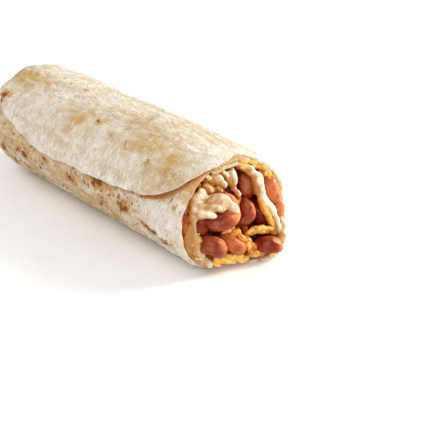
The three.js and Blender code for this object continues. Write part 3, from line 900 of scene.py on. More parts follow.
@dataclass
class Tortilla:
    """One flour sheet rolled about one and a half turns, its free edge showing in front.

    Its columns are at angles that fall from the free edge inward: the outer turn down to
    outer_to, then the turn beneath, of which the strip down to strip_to shows in front.
    """

    roll: Roll = ROLL
    outer_to: float = -180
    strip_to: float = -300
    inner_end_angle: float = -384
    step: float = 0.93 * MM
    column_step: float = 1.85
    hidden_from: float = 372
    hidden_columns: int = 16
    edge_steps: tuple[float, ...] = (0, 0.1, 0.3, 0.65, 1.1)
    edge_round: float = 0.8 * MM
    edge_waves: Waves = ((0.5, 8.5 * MM, 0), (0.4, 3.9 * MM, 1), (0.3, 1.9 * MM, 0))
    rim_waves: Waves = ((0.35 * MM, 1 / 9, 0), (0.25 * MM, 1 / 23, 1))
    speck_waves: Waves = ((0.2, 17 * MM, 0), (0.12, 7 * MM, 2))
    curl: float = 0.9 * MM
    wrinkle_depth: float = 0.4 * MM
    step_back: float = 3.0 * MM
    random_marks: int = 70

    def stations(self) -> Array:
        """Distances along the sheet at which it has a row, from the end's middle to the rim."""
        end = self.roll.full_length
        cap = -self.roll.cap_radius * (1 - np.linspace(0.03, 1, 13)[:-1])
        body = np.arange(0, end - self.step * 1.6, self.step)
        return np.concatenate([cap, body, end - np.array(self.edge_steps[::-1]) * MM])

    def columns(self, edge: Array) -> Array:
        """Angles of a row's columns, from the free edge inward, over 360 for the turn beneath."""
        fine = np.degrees(np.array(self.edge_steps) * MM / MID_RADIUS)
        seen = np.arange(2 * fine[-1], self.hidden_from, self.column_step)
        share = np.linspace(0, 1, self.hidden_columns)[1:]
        hidden = lerp(edge - seen[-1], self.inner_end_angle, share)
        return np.concatenate([edge - fine, edge - seen, hidden], axis=1)

    def wavy_edge(self, x: Array) -> Array:
        """Angle of the free edge, a little uneven as a hand-rolled one is."""
        waves = wavy(x, self.edge_waves) * smooth(self.roll.length - x, 12 * MM)
        return self.roll.flap_edge(x) - 4 * bell(x - 172 * MM, 5 * MM) + waves

    def build(self, material: Material) -> Object:
        """Makes the sheet as one closed mesh: its outer face, its inner face and its edges.

        Args:
            material: The sheet's finish.

        Returns:
            The tortilla.
        """
        m = self.stations()[:, None]
        angle = self.columns(self.wavy_edge(self.roll.station(m)))
        m = np.broadcast_to(m, angle.shape)
        x = self.roll.station(m)
        to_edge = arc(angle[:, :1] - angle)
        to_rim = self.roll.full_length - m

        thick = self.roll.wall(x, angle)
        sides = self.round_off(to_edge) * self.round_off(arc(angle - self.inner_end_angle))
        rounded = sides * self.round_off(to_rim)
        lying = smooth(angle - self.inner_end_angle - 350, 10)
        recess = self.rim_recess(angle) * self.roll.near_mouth(x, 24 * MM)
        base = self.roll.surface(m - recess, angle)
        base[..., 0] += wavy(np.radians(angle), self.rim_waves) * self.roll.near_mouth(x, 14 * MM)

        middle = self.layer_offset(x, angle, to_edge, thick) - thick / 2 + self.roll.dents(base, angle)
        toast, tan_and_shade = self.marks(x, angle)
        fine = self.fine_relief(base, x, angle, to_edge, toast) * rounded
        fine *= np.where(angle > self.strip_to, 1, 0.3)
        above = thick * lerp(rounded / 2, rounded - sides / 2, lying)
        below = thick / 2 * lerp(rounded, sides, lying)
        out = self.roll.outward(m, angle)
        top = base + out * (middle + fine + above)[..., None]
        bottom = base + out * (middle - below)[..., None]
        top[..., 2] = np.maximum(top[..., 2], 0)
        bottom[..., 2] = np.maximum(bottom[..., 2], thick * rounded * 0.9)

        values = {
            "toast": (toast, 0),
            # tan and stain also carry painted shadow under the flap's edge, besides the sheet's own colour
            "tan_and_shade": (tan_and_shade, 0),
            "speck": (self.speck_density(x, angle), 0.1),
            # on the inner face, the stain's fading near the rim and at the back is painted light through the
            # sheet
            "stain_and_shading": (self.stain_and_shading(x, angle, to_rim), self.inner_stain_and_glow(angle, to_rim)),
            "raised": (fine / (0.3 * MM), 0),
            "arc": (arc(angle),) * 2,
            "inward": (self.inward(x, base),) * 2,
            "pull": (self.pull(angle), 1),
            "thin": (np.exp(-to_rim / (9 * MM)),) * 2,
        }
        return self.sheet_mesh(top, bottom, values, material)

    def from_axis(self, base: Array) -> Array:
        """Distance from the roll's axis."""
        return np.hypot(base[..., 1], base[..., 2] - self.roll.height / 2)

    def inward(self, x: Array, base: Array) -> Array:
        """Distance from the roll's axis on the shut end, which fades to nothing on the sides."""
        return self.from_axis(base) * (1 - smooth(x, 14 * MM))

    def pull(self, angle: Array) -> Array:
        """How much the sheet is pulled down round the roll: not on top, and fully at its sides."""
        return smooth(from_top(angle) - 22, 28)

    def flat(self, x: Array, angle: Array, inward: Array | float = 0.0) -> Array:
        """Place on the sheet laid flat."""
        return np.stack(np.broadcast_arrays(x, arc(angle), inward), axis=-1)

    def rim_recess(self, angle: Array) -> Array:
        """How far the outer turn's rim lies behind the turn beneath it, which shows on top."""
        return np.where(angle > self.outer_to, self.step_back * bell(angle + 11, 12), 0)

    def round_off(self, distance: Array) -> Array:
        """Share of the thickness left at a distance from an edge, which is rounded."""
        into = np.clip(1 - distance / self.edge_round, 0, 1)
        return np.maximum(np.sqrt(1 - into**2), 0.12)

    def layer_offset(self, x: Array, angle: Array, to_edge: Array, thick: Array) -> Array:
        """Place of the sheet's outer face off the roll, for both turns.

        Args:
            x: Distance from the shut end.
            angle: Angle of the column.
            to_edge: Distance to the free edge, round the roll.
            thick: Thickness of the sheet.

        Returns:
            The distance outward from the roll's wall.
        """
        curl = self.curl * np.exp(-to_edge / (5 * MM)) * (0.2 + bell(x - 156 * MM, 14 * MM))
        curl *= 1 + 0.5 * np.sin(x / (6 * MM))
        around = angle + 360
        gap = self.roll.thin(x) * lerp(0.02 * MM, self.roll.flap_gap, smooth(around - 5, 50))
        beneath = np.minimum(0, self.roll.lift(x, around) - thick - gap)
        return np.where(angle > self.outer_to, self.roll.lift(x, angle) + curl, beneath)

    def fine_relief(self, base: Array, x: Array, angle: Array, to_edge: Array, toast: Array) -> Array:
        """Blisters, wrinkles, creases and puckers of the visible face.

        Args:
            base: Places on the roll's wall.
            x: Distance from the shut end.
            angle: Angle of the column.
            to_edge: Distance to the free edge, round the roll.
            toast: Strength of the toasted marks.

        Returns:
            The height of the relief, in metres.
        """
        blisters = np.maximum(0, lumps(base, 7 * MM, 2, 5.0) - 0.12) * 1.2 * MM
        folds = 0.35 * MM * (0.35 - abs(lumps(base * (0.6, 1, 1), 5 * MM, 3, 9.0)))
        creases = sum(crease.field(x, angle) for crease in CREASES)
        wave = np.sin(x / (1.9 * MM) + 2.2 * np.sin(x / (9 * MM)))
        puckers = 0.25 * MM * wave * np.exp(-to_edge / (6 * MM)) * (0.6 + 0.4 * np.sin(x / (13 * MM)))
        raised = 0.3 * MM * np.clip(toast, 0, 1)
        wrinkles = self.wrinkle_depth * self.wrinkles(x, angle, self.inward(x, base))
        relief = blisters + folds + wrinkles - creases + puckers + raised
        return relief * smooth(168 - from_top(angle), 20) + self.end_relief(x, angle, base)

    def wrinkles(self, x: Array, angle: Array, inward: Array) -> Array:
        """Sharp fine folds: along the roll on top, and round it where the sheet is pulled down."""
        flat = self.flat(x, angle, inward)
        drift = [lumps(flat, 9 * MM, 1, seed) for seed in (2.0, 8.0)]
        flat = flat + 2.5 * MM * np.stack([*drift, np.zeros_like(x)], axis=-1)
        along = 0.45 - 1.8 * abs(lumps(flat * (0.3, 1, 1), 2.6 * MM, 2, 5.0))
        around = 0.45 - 1.8 * abs(lumps(flat * (1, 0.55, 1), 3.4 * MM, 2, 15.0))
        return lerp(along, around, self.pull(angle))

    def end_relief(self, x: Array, angle: Array, base: Array) -> Array:
        """Tucked end: the rolled layers' edges in a spiral, and pleats round its corner."""
        radius = self.from_axis(base)
        turn = (radius / (7.5 * MM) + angle / 360) % 1.0
        layers = (turn**1.5 - 0.5) * 1.5 * MM * smooth(radius - 1.5 * MM, 3 * MM)
        around = np.radians(angle)
        pleats = np.sin(around * 8 + 3 * np.sin(around)) * 0.5 * MM + np.sin(around * 13) * 0.25 * MM
        on_bend = smooth(22 * MM - x, 20 * MM) * smooth(radius - 6 * MM, 8 * MM)
        return layers * smooth(5 * MM - x, 5 * MM) + pleats * on_bend

    def marks(self, x: Array, angle: Array) -> tuple[Array, Array]:
        """Toasted marks and tanned bands: the named ones in front and random ones behind. The tan also holds
        painted shadow under the flap's edge.

        Args:
            x: Distance from the shut end.
            angle: Angle of the column.

        Returns:
            The strength of the marks and of the tan, which holds the painted shadow under the flap's edge.
        """
        draw = np.random.default_rng(11)
        flat = self.flat(x, angle)
        ragged = np.stack([lumps(flat, 2.6 * MM, 2, seed) for seed in (31.0, 37.0)])
        broad = np.stack([lumps(flat, 12 * MM, 2, seed) for seed in (41.0, 43.0)])
        toast_warp, tan_warp = 2.4 * ragged, 6 * broad + 2 * ragged
        outer, hidden = angle > self.outer_to, angle < self.strip_to
        on = {Layer.OUTER: outer, Layer.UNDER: ~outer}

        toast = np.zeros_like(x)
        tan_and_shade = np.where(outer | hidden, 0, 0.85 * smooth(168 * MM - x, 50 * MM))
        # A darker tan band just under the free edge, widening towards the mouth: painted shadow of the lifted
        # flap.
        tan_and_shade = np.maximum(tan_and_shade, 1.2 * self.under_flap_shadow(x, angle, 12))
        tan_and_shade = np.maximum(tan_and_shade, np.where(hidden, 1.1 * smooth(x - 160 * MM, 10 * MM), 0))
        for layer, marks in TOAST.items():
            for mark in marks:
                toast = np.maximum(toast, mark.field(x, angle, toast_warp) * on[layer])
        for mark in TAN:
            tan_and_shade = np.maximum(tan_and_shade, mark.field(x, angle, tan_warp) * outer)
        for _ in range(self.random_marks):
            side = draw.uniform(-170, -32)
            size = draw.uniform(1.2, 3.8)
            there = draw.uniform(4, 172)
            mark = Mark(there, side, size, size * draw.uniform(0.6, 1), draw.uniform(0.5, 1.1))
            wide = Mark(there, side, 4.5 * size, 3 * size, draw.uniform(0.2, 0.8))
            toast = np.maximum(toast, mark.field(x, angle, toast_warp) * outer)
            tan_and_shade = np.maximum(tan_and_shade, wide.field(x, angle, tan_warp) * outer)
        return toast, tan_and_shade

    def speck_density(self, x: Array, angle: Array) -> Array:
        """Share of the small cells that hold a browned speck."""
        along = 0.42 + wavy(x, self.speck_waves)
        along *= 1 - 0.6 * smooth(x - 140 * MM, 20 * MM)
        return np.where((angle <= self.outer_to) & (angle > self.strip_to), along, 0.04)

    def under_flap_shadow(self, x: Array, angle: Array, reach: float) -> Array:
        """Band of painted shadow under the free edge: a share that falls from 1 there to nothing at an angle
        below it.
        """
        below = self.wavy_edge(x) - (angle + 360)
        wide = lerp(5, reach, smooth(x - 156 * MM, 12 * MM))
        return np.where(angle < self.outer_to, smooth(1 - abs(below + 1) / wide), 0)

    def stain_and_shading(self, x: Array, angle: Array, to_rim: Array) -> Array:
        """Orange of the outer face: stain at the rim and on the step, and under the flap's corner a band that
        is partly stain and partly painted shadow of the lifted flap.
        """
        rim = np.exp(-to_rim / (1.2 * MM)) * 0.25
        # Under the flap's corner: orange stain with painted shadow of the lifted flap.
        flap_shadow_and_stain = self.under_flap_shadow(x, angle, 6) * (0.25 + 0.65 * bell(x - 162 * MM, 22 * MM))
        step = np.where(angle < self.outer_to, 0.4 * bell(angle + 371, 18), 0) * np.exp(-to_rim / (6 * MM))
        return np.maximum(rim, np.maximum(flap_shadow_and_stain, step))

    def inner_stain_and_glow(self, angle: Array, to_rim: Array) -> Array:
        """Orange stain of the inner face. It fades towards the rim and is weaker at the back, as painted
        light shining through the thin sheet there.
        """
        back = smooth(1.6 - abs(angle_between(angle, -125)) / 70)
        return smooth(to_rim, lerp(8, 3, back) * MM) * (1 - 0.55 * back)

    def sheet_mesh(
        self, top: Array, bottom: Array, values: dict[str, tuple[Array, Array | float]], material: Material
    ) -> Object:
        """Closes the two faces into one body.

        Args:
            top: Grid of the outer face's points.
            bottom: Grid of the inner face's points.
            values: For each carried value, its grid on the outer and on the inner face.
            material: The sheet's finish.

        Returns:
            The tortilla.
        """
        rows, cols = top.shape[:2]
        count = 2 * cols
        last = (rows - 1) * count
        faces = [
            (r + i, r + count + i, r + count + (i + 1) % count, r + (i + 1) % count)
            for r in range(0, last, count)
            for i in range(count)
        ]
        for i in range(cols - 1):
            inner = count - 1 - i
            faces.append((last + i, last + inner, last + inner - 1, last + i + 1))
            faces.append((i, i + 1, inner - 1, inner))
        carried = {}
        for name, pair in values.items():
            over, under = (np.broadcast_to(value, (rows, cols)) for value in pair)
            carried[name] = np.concatenate([over, under[:, ::-1]], axis=1).ravel()
        loop = place(np.concatenate([top, bottom[:, ::-1]], axis=1))
        return Draft().add(loop.reshape(-1, 3), faces, **carried).build("rolled_tortilla", material)


# ------------------------------------------------------------------ beans

PAINTED_LIGHT_SIDE = unit(np.array([0.3, 0.9, 0.4]))  # side towards the light, on which wet things get a painted highlight


@dataclass(frozen=True)
class Bean:
    """A cooked kidney bean. Places and sizes in millimetres, directions as plain vectors."""

    at: Point
    along: Point
    back: Point
    size: Point
    shade: float

    def frame_axes(self) -> tuple[Array, Array, Array]:
        """Directions of its length, its rounded back and its side."""
        along = unit(np.array(self.along, float))
        side = unit(np.cross(self.back, along))
        return along, np.cross(along, side), side

    def contains(self, point: Array, margin: float) -> bool:
        """Whether a point, in metres from the shut end, lies in the bean's rough form."""
        offset = point - np.array(self.at) * MM
        parts = [offset @ axis for axis in self.frame_axes()]
        halves = [s * MM / 2 + margin for s in self.size]
        return sum((p / h) ** 2 for p, h in zip(parts, halves)) < 1


# The last number is how pale each bean is. The eleventh is made paler, as painted light where it lies in the
# left wall's shade; the tenth and the twelfth are made darker, as painted shade of beans deep among the
# others.
BEANS = (
    Bean((170.5, 11.6, 36.2), (0.1, 0.1, -1), (0.8, -0.5, 0), (16.5, 8.8, 8.2), 0.4),
    Bean((173.3, 25.6, 29.8), (0.18, 0.16, -1), (0.6, -0.8, 0), (18.0, 11.4, 10.6), 1.0),
    Bean((176.6, 27.9, 20.6), (0.15, -0.04, -1), (0.3, 1, 0), (12.0, 6.6, 6.4), 1.15),
    Bean((174.5, 7.8, 23.6), (0.05, -0.42, -0.9), (0.6, 0.7, -0.3), (15.0, 9.4, 8.6), 0.3),
    Bean((177.8, -10.4, 27.2), (0.62, 0.76, 0.1), (0.6, -0.5, -0.6), (19.5, 9.6, 9.0), 0.5),
    Bean((174.0, -5.6, 34.6), (0.5, 0.72, -0.48), (0.7, -0.4, 0.6), (16.5, 9.4, 9.0), 0.7),
    Bean((176.8, -16.3, 15.1), (0.66, 0.66, -0.3), (0.2, -0.6, 0.7), (17.5, 11.8, 10.6), 0.35),
    Bean((179.5, -4.1, 12.8), (0.56, 0.6, -0.58), (0.6, -0.6, 0.4), (15.0, 8.6, 8.2), 0.75),
    Bean((185.2, 13.6, 8.3), (0.6, 0.8, -0.08), (0.5, -0.4, 0.8), (15.0, 9.4, 9.0), 0.2),
    Bean((172.2, 19.6, 18.0), (0.25, 0.28, -0.95), (0.9, -0.3, 0), (17.0, 9.8, 8.8), 0.1),
    Bean((169.4, -25.8, 27.0), (0.3, 0.1, -0.95), (0.8, -0.6, 0), (13.5, 7.8, 7.4), 0.85),
    Bean((171.8, -20.2, 25.6), (0.6, 0.5, -0.6), (0.6, -0.6, 0.4), (13.0, 8.4, 8.0), 0.05),
)


@dataclass
class Beans:
    """The beans in the open end, each a piece of its own."""

    beans: tuple[Bean, ...] = BEANS
    sides: int = 40
    rings: int = 30
    bow: float = 0.16
    waist: float = 0.1
    dent: float = 0.4 * MM

    def build(self, material: Material) -> list[Object]:
        """Makes every bean, in the order of their list."""
        return [self.one(bean, i, material) for i, bean in enumerate(self.beans)]

    def one(self, bean: Bean, index: int, material: Material) -> Object:
        """Makes one bean: bowed towards its back, slimmer at the middle, a little dented.

        Args:
            bean: Its place, directions, size and shade.
            index: Its place in the list, which its name and its dents follow.
            material: The bean skin.

        Returns:
            The bean.
        """
        along, back, side = bean.frame_axes()
        half_length, half_width, half_depth = (s * MM / 2 for s in bean.size)
        t = -np.cos(np.pi * np.arange(1, self.rings + 1) / (self.rings + 1))[:, None, None]
        turn = (2 * np.pi * np.arange(self.sides) / self.sides)[None, :, None]
        blunt = (1 - np.abs(t) ** 2.3) ** (1 / 2.1)
        girth = blunt * (1 - self.waist * np.cos(t * np.pi / 2) ** 4 * (1.2 - np.cos(turn)))
        bow = self.bow * bean.size[0] * MM
        middle = np.array(bean.at) * MM
        rings = (
            middle
            + along * t * half_length
            + back * (np.cos(turn) * girth * half_width + bow * (0.3 - t**2))
            + side * np.sin(turn) * girth * half_depth
        )
        tips = [middle + along * end * half_length - back * bow * 0.7 for end in (-1, 1)]
        points, faces = loft(rings, *tips)
        out = unit(points - middle)
        points = points + out * (lumps(points, 3.4 * MM, 3, index * 3.7) * self.dent)[:, None]
        points = ROLL.keep_inside(points)
        # Painted highlight: the side of the bean that faces the light is made paler.
        painted_light = 0.9 * np.maximum(0, out @ PAINTED_LIGHT_SIDE) ** 3
        shade = np.clip(0.5 * bean.shade + painted_light + 0.14 * lumps(points, 4 * MM, 2, index), 0, 1)
        return Draft().add(place(points), faces, shade=shade).build(f"kidney_bean_{index + 1}", material)


# ------------------------------------------------------------------ filling


@dataclass(frozen=True)
class Hollow:
    """A hollow in the filling's open face, in millimetres."""

    y: float
    z: float
    depth: float
    radius: float


@dataclass
class FillingCore:
    """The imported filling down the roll, up to its uneven open face."""

    roll: Roll = ROLL
    shut_at: float = 8 * MM
    wall: float = 2.0 * MM
    recess: float = 5.0 * MM
    bump: float = 0.9 * MM
    centre: Point = (172.5 * MM, -1 * MM, 27 * MM)
    sides: int = 150
    side_rings: int = 26
    face_rings: int = 46
    hollows: tuple[Hollow, ...] = (
        Hollow(20, 18, 6.0, 9), Hollow(-12, 21, 5.0, 6), Hollow(8, 42, 2.5, 12), Hollow(-2, 17, 2.5, 5)
    )

    def relief(self, y: Array, z: Array) -> Array:
        """Depth of the hollows at a place of the face, forward positive."""
        y, z = y / MM, z / MM
        return -MM * sum(h.depth * bell(np.hypot(y - h.y, z - h.z), h.radius) for h in self.hollows)

    def face(self, share: Array, angle: Array) -> Array:
        """Point of the open face.

        Args:
            share: 0 in the middle of the face and 1 at its edge.
            angle: Angle round the roll.

        Returns:
            Points from the shut end's middle.
        """
        rim = self.roll.point(self.roll.lean(self.roll.length, angle), angle, -self.wall)
        rim[..., 0] -= self.recess
        points = lerp(np.array(self.centre), rim, share[..., None])
        points[..., 0] = lerp(self.centre[0], rim[..., 0], share**1.6)
        points[..., 0] += self.relief(points[..., 1], points[..., 2]) * smooth((1 - share) * 4)
        return points

    def build(self, material: Material) -> Object:
        """Makes the core.

        Args:
            material: Its finish.

        Returns:
            The core.
        """
        angle = -360 * np.arange(self.sides) / self.sides
        x = np.linspace(self.shut_at, self.roll.length, self.side_rings)[:, None]
        side = self.roll.point(self.roll.lean(x, angle), angle, -self.wall)
        side[..., 0] -= self.recess * smooth(x, self.roll.length)
        share = np.linspace(1, 0, self.face_rings + 1)[1:-1, None]
        face = self.face(np.broadcast_to(share, (len(share), self.sides)), angle[None, :])
        start = np.array([self.shut_at, 0, self.roll.height / 2])
        middle = self.face(np.zeros(1), np.zeros(1))[0]
        points, faces = loft(np.concatenate([side, face]), start, middle)
        in_mouth = smooth(points[:, 0] - self.roll.length + 14 * MM, 8 * MM)
        bumps = self.bump * lumps(points, 3 * MM, 2, 2.0) * in_mouth
        points = points + np.array([0.85, -0.4, 0.3]) * bumps[:, None]
        wide, high, centre = self.roll.section(points[:, 0])
        edge = np.hypot(points[:, 1] / wide, (points[:, 2] - centre) / high)
        # Dark red-brown sauce, kept very dark to stand for the shadowed gaps between the beans: partly
        # painted shade. Paler and oranger by the wall: orange sauce lies there, and the lighter tone is also
        # painted light over the shadow of the gap between filling and wall.
        shade = 0.04 + 0.12 * lumps(points, 5 * MM, 2, 7.0) + 0.65 * smooth(edge - 0.78, 0.14)
        draft = Draft().add(place(points), faces, shade=np.clip(shade, 0, 1))
        return draft.build("packed_filling", material)


@dataclass(frozen=True)
class Heap:
    """Grains that lie together: middle, spread along each axis, how many, which way, how pale."""

    at: Point
    spread: Point
    count: int
    along: Point = (0, 0, 0)
    shade: float = 0.6


RICE_HEAPS = (
    # The heaps under the top wall are paler: painted light on rice that lies in the wall's shadow.
    Heap((172.3, 10.6, 50.6), (0.5, 1.2, 0.6), 4, (0.1, 0.8, -0.4), 0.85),
    Heap((172.3, 13.8, 49.2), (0.6, 1.4, 0.8), 5, (0.1, 0.8, -0.5), 0.85),
    Heap((172.4, 17.0, 47.2), (0.6, 1.4, 1.0), 6, (0.1, 0.7, -0.6), 0.8),
    Heap((172.6, 19.8, 44.6), (0.6, 1.4, 1.0), 6, (0.1, 0.6, -0.7), 0.75),
    Heap((172.8, 22.3, 41.8), (0.6, 1.2, 1.2), 5, (0.1, 0.5, -0.8), 0.9),
    Heap((173.0, 24.6, 38.8), (0.6, 0.8, 1.0), 3, (0.1, 0.4, -0.9)),
    Heap((179.3, 8.2, 15.6), (0.8, 0.8, 1.2), 3, (0.3, 0.8, 0.3)),
    Heap((180.3, 11.6, 15.8), (0.8, 1.0, 1.4), 4, (0.3, 0.8, -0.3)),
    Heap((181.0, 15.4, 14.2), (0.8, 1.0, 1.2), 4, (0.3, 0.8, -0.3)),
    Heap((178.3, -6.6, 20.6), (0.6, 0.8, 0.8), 2, (0.3, 0.9, 0.0)),
    Heap((179.0, -3.4, 18.0), (0.6, 1.0, 0.7), 3, (0.3, 0.8, 0.1)),
    Heap((180.2, 0.5, 15.2), (0.8, 0.8, 1.0), 3, (0.3, 0.5, -0.8), 0.45),
    Heap((181.0, 3.4, 11.9), (0.8, 1.0, 1.2), 4, (0.3, 0.4, -0.8), 0.5),
    Heap((182.0, 5.6, 8.4), (0.8, 1.2, 1.2), 5, (0.3, 0.4, -0.8), 0.5),
    Heap((182.6, 6.6, 5.2), (1.0, 1.6, 1.0), 5, (0.6, 0.6, 0.1)),
    # The heaps on the bottom lip are paler: painted light on rice that lies in the lip's shadow.
    Heap((177.6, -11.4, 5.4), (0.8, 1.4, 1.0), 4, (0.3, 0.7, -0.3), 0.95),
    Heap((178.6, -7.6, 5.0), (0.8, 1.4, 0.8), 4, (0.4, 0.9, 0.1), 1.0),
    Heap((179.6, -3.4, 4.6), (0.8, 1.4, 0.8), 4, (0.4, 0.9, 0.1), 1.0),
    Heap((180.8, 0.6, 3.6), (0.8, 1.2, 0.8), 3, (0.4, 0.9, 0.0), 0.8),
    Heap((179.4, -8.6, 7.2), (0.6, 1.4, 0.6), 4, (0.4, 0.9, 0.1), 0.9),
    Heap((180.6, -3.6, 6.6), (0.6, 1.4, 0.6), 4, (0.4, 0.9, 0.0), 0.9),
    Heap((184.2, 10.6, 4.4), (0.6, 0.8, 0.6), 2, (0.2, 0.5, 0.8)),
    Heap((187.0, 15.2, 2.8), (0.3, 0.4, 0.4), 2, (0.2, 0.2, 1), 1.0),
    Heap((178.5, 28.4, 12.8), (0.5, 0.5, 1.0), 2),
)

CRUMB_HEAPS = (
    Heap((173.6, -9.4, 50.6), (0.8, 2.2, 0.5), 9),
    Heap((173.6, -4.6, 51.4), (0.8, 2.2, 0.5), 10),
    Heap((173.6, -0.4, 51.0), (0.7, 1.8, 0.6), 8),
    Heap((173.2, 3.6, 50.4), (0.6, 1.6, 0.6), 6),
    Heap((172.6, -13.0, 48.6), (0.6, 1.0, 0.8), 5),
    Heap((179.6, 28.6, 13.6), (0.4, 0.4, 1.4), 5),
    Heap((176.8, -22.6, 10.6), (0.8, 0.8, 1.4), 5),
    Heap((176, -22.8, 21.6), (0.4, 0.7, 1.6), 8, shade=0.2),
    Heap((176.2, -22.4, 17.2), (0.4, 0.8, 1.8), 12, shade=0.15),
    Heap((176.8, -21.4, 12.8), (0.4, 0.8, 1.6), 9, shade=0.25),
    Heap((175.3, -24.6, 19.6), (0.3, 1.0, 2.6), 9, shade=0.2),
    Heap((175.6, -23.9, 13.6), (0.3, 1.0, 2.4), 8, shade=0.3),
)


@dataclass
class Grains:
    """Small things in the open end: heaps of them where they show, and some all over the core."""

    name: str
    core: FillingCore
    heaps: tuple[Heap, ...]
    length: float
    width: float
    scattered: int = 0
    scattered_shade: float = 0.2
    bluntness: float = 3.4
    uneven: float = 0.06
    lowest: float = 1.3 * MM
    sides: int = 10
    rings: int = 9
    seed: int = 4

    def grain(self, draw: np.random.Generator) -> tuple[Array, Faces]:
        """One of them along X: rounded, blunt at its ends and slightly bent, no two alike.

        Args:
            draw: Source of random numbers.

        Returns:
            The vertices and the faces.
        """
        length = self.length * draw.uniform(0.75, 1.12)
        width = self.width * draw.uniform(0.85, 1.12)
        t = -np.cos(np.pi * np.arange(1, self.rings + 1) / (self.rings + 1))[:, None]
        turn = -(2 * np.pi * np.arange(self.sides) / self.sides)[None, :]
        ridges = 1 + self.uneven * np.cos(turn * 3 + draw.uniform(0, 6) + 2 * t)
        girth = (1 - np.abs(t) ** self.bluntness) ** 0.5 * width / 2 * ridges
        bend = draw.uniform(-0.1, 0.1) * length
        x = np.broadcast_to(t * length / 2, girth.shape)
        y = girth * np.cos(turn) * 1.06 + bend * t**2
        rings = np.stack([x, y, girth * np.sin(turn) * 0.96], axis=-1)
        return loft(rings, *(np.array([end * length / 2, bend, 0]) for end in (-1, 1)))

    def build(self, material: Material) -> Object:
        """Makes all the grains as one joined mesh.

        Args:
            material: Their finish.

        Returns:
            The grains.
        """
        draw = np.random.default_rng(self.seed)
        draft = Draft()
        for heap in self.heaps:
            for _ in range(heap.count):
                at = (np.array(heap.at) + draw.normal(0, 0.6, 3) * heap.spread) * MM
                along = unit(unit(np.array(heap.along) + 1e-6) + draw.normal(0, 0.2, 3))
                self.lay(draft, draw, at, along, heap.shade)
        laid = 0
        while laid < self.scattered:
            share = np.sqrt(draw.uniform(0, 0.97, 1))
            angle = draw.uniform(0, 360, 1)
            at = self.core.face(share, angle)[0] + np.array([draw.uniform(-0.6, 1.0) * MM, 0, 0])
            in_bean = any(bean.contains(at, -0.8 * MM) for bean in BEANS)
            if in_bean or self.core.relief(at[1], at[2]) < -0.9 * MM:
                continue
            along = unit(draw.normal(0, 1, 3) * np.array([0.45, 1, 1]))
            self.lay(draft, draw, at, along, self.scattered_shade)
            laid += 1
        return draft.build(self.name, material)

    def lay(self, draft: Draft, draw: np.random.Generator, at: Array, along: Array, shade: float) -> None:
        """Adds one grain.

        Args:
            draft: The mesh it goes into.
            draw: Source of random numbers.
            at: Its middle, from the shut end's middle.
            along: Direction of its length.
            shade: How pale it is.
        """
        points, faces = self.grain(draw)
        side = unit(np.cross(along, draw.normal(0, 1, 3)))
        points = points @ np.stack([along, side, np.cross(along, side)]) + at
        points[:, 2] += max(0.0, self.lowest - points[:, 2].min())
        points = ROLL.keep_inside(points)
        draft.add(place(points), faces, shade=float(np.clip(draw.normal(shade, 0.18), 0, 1)))


# ------------------------------------------------------------------ cheese


@dataclass(frozen=True)
class Run:
    """A run of thick sauce: its path, and at even places along it its width and its milkiness."""

    path: tuple[Point, ...]
    widths: tuple[float, ...]
    thickness: float
    milk: tuple[float, ...]

    def line(self, count: int) -> Array:
        """Points on the smooth curve through the path, evenly spaced, in metres.

        Args:
            count: How many points.

        Returns:
            The points, from the shut end's middle.
        """
        path = np.array(self.path) * MM
        padded = np.concatenate([[2 * path[0] - path[1]], path, [2 * path[-1] - path[-2]]])
        t = np.linspace(0, 1, 24, endpoint=False)[:, None]
        fine = [
            0.5 * (2 * b + (c - a) * t + (2 * a - 5 * b + 4 * c - d) * t**2 + (3 * b - a - 3 * c + d) * t**3)
            for a, b, c, d in zip(padded, padded[1:], padded[2:], padded[3:])
        ]
        line = np.concatenate([*fine, [path[-1]]])
        length = np.concatenate([[0], np.cumsum(np.linalg.norm(np.diff(line, axis=0), axis=1))])
        even = np.linspace(0, length[-1], count)
        return np.stack([np.interp(even, length, line[:, k]) for k in range(3)], axis=1)


def along_run(values: tuple[float, ...], count: int) -> Array:
    """Spreads values, given at even places along a run, over a number of points."""
    return np.interp(np.linspace(0, 1, count), np.linspace(0, 1, len(values)), values)


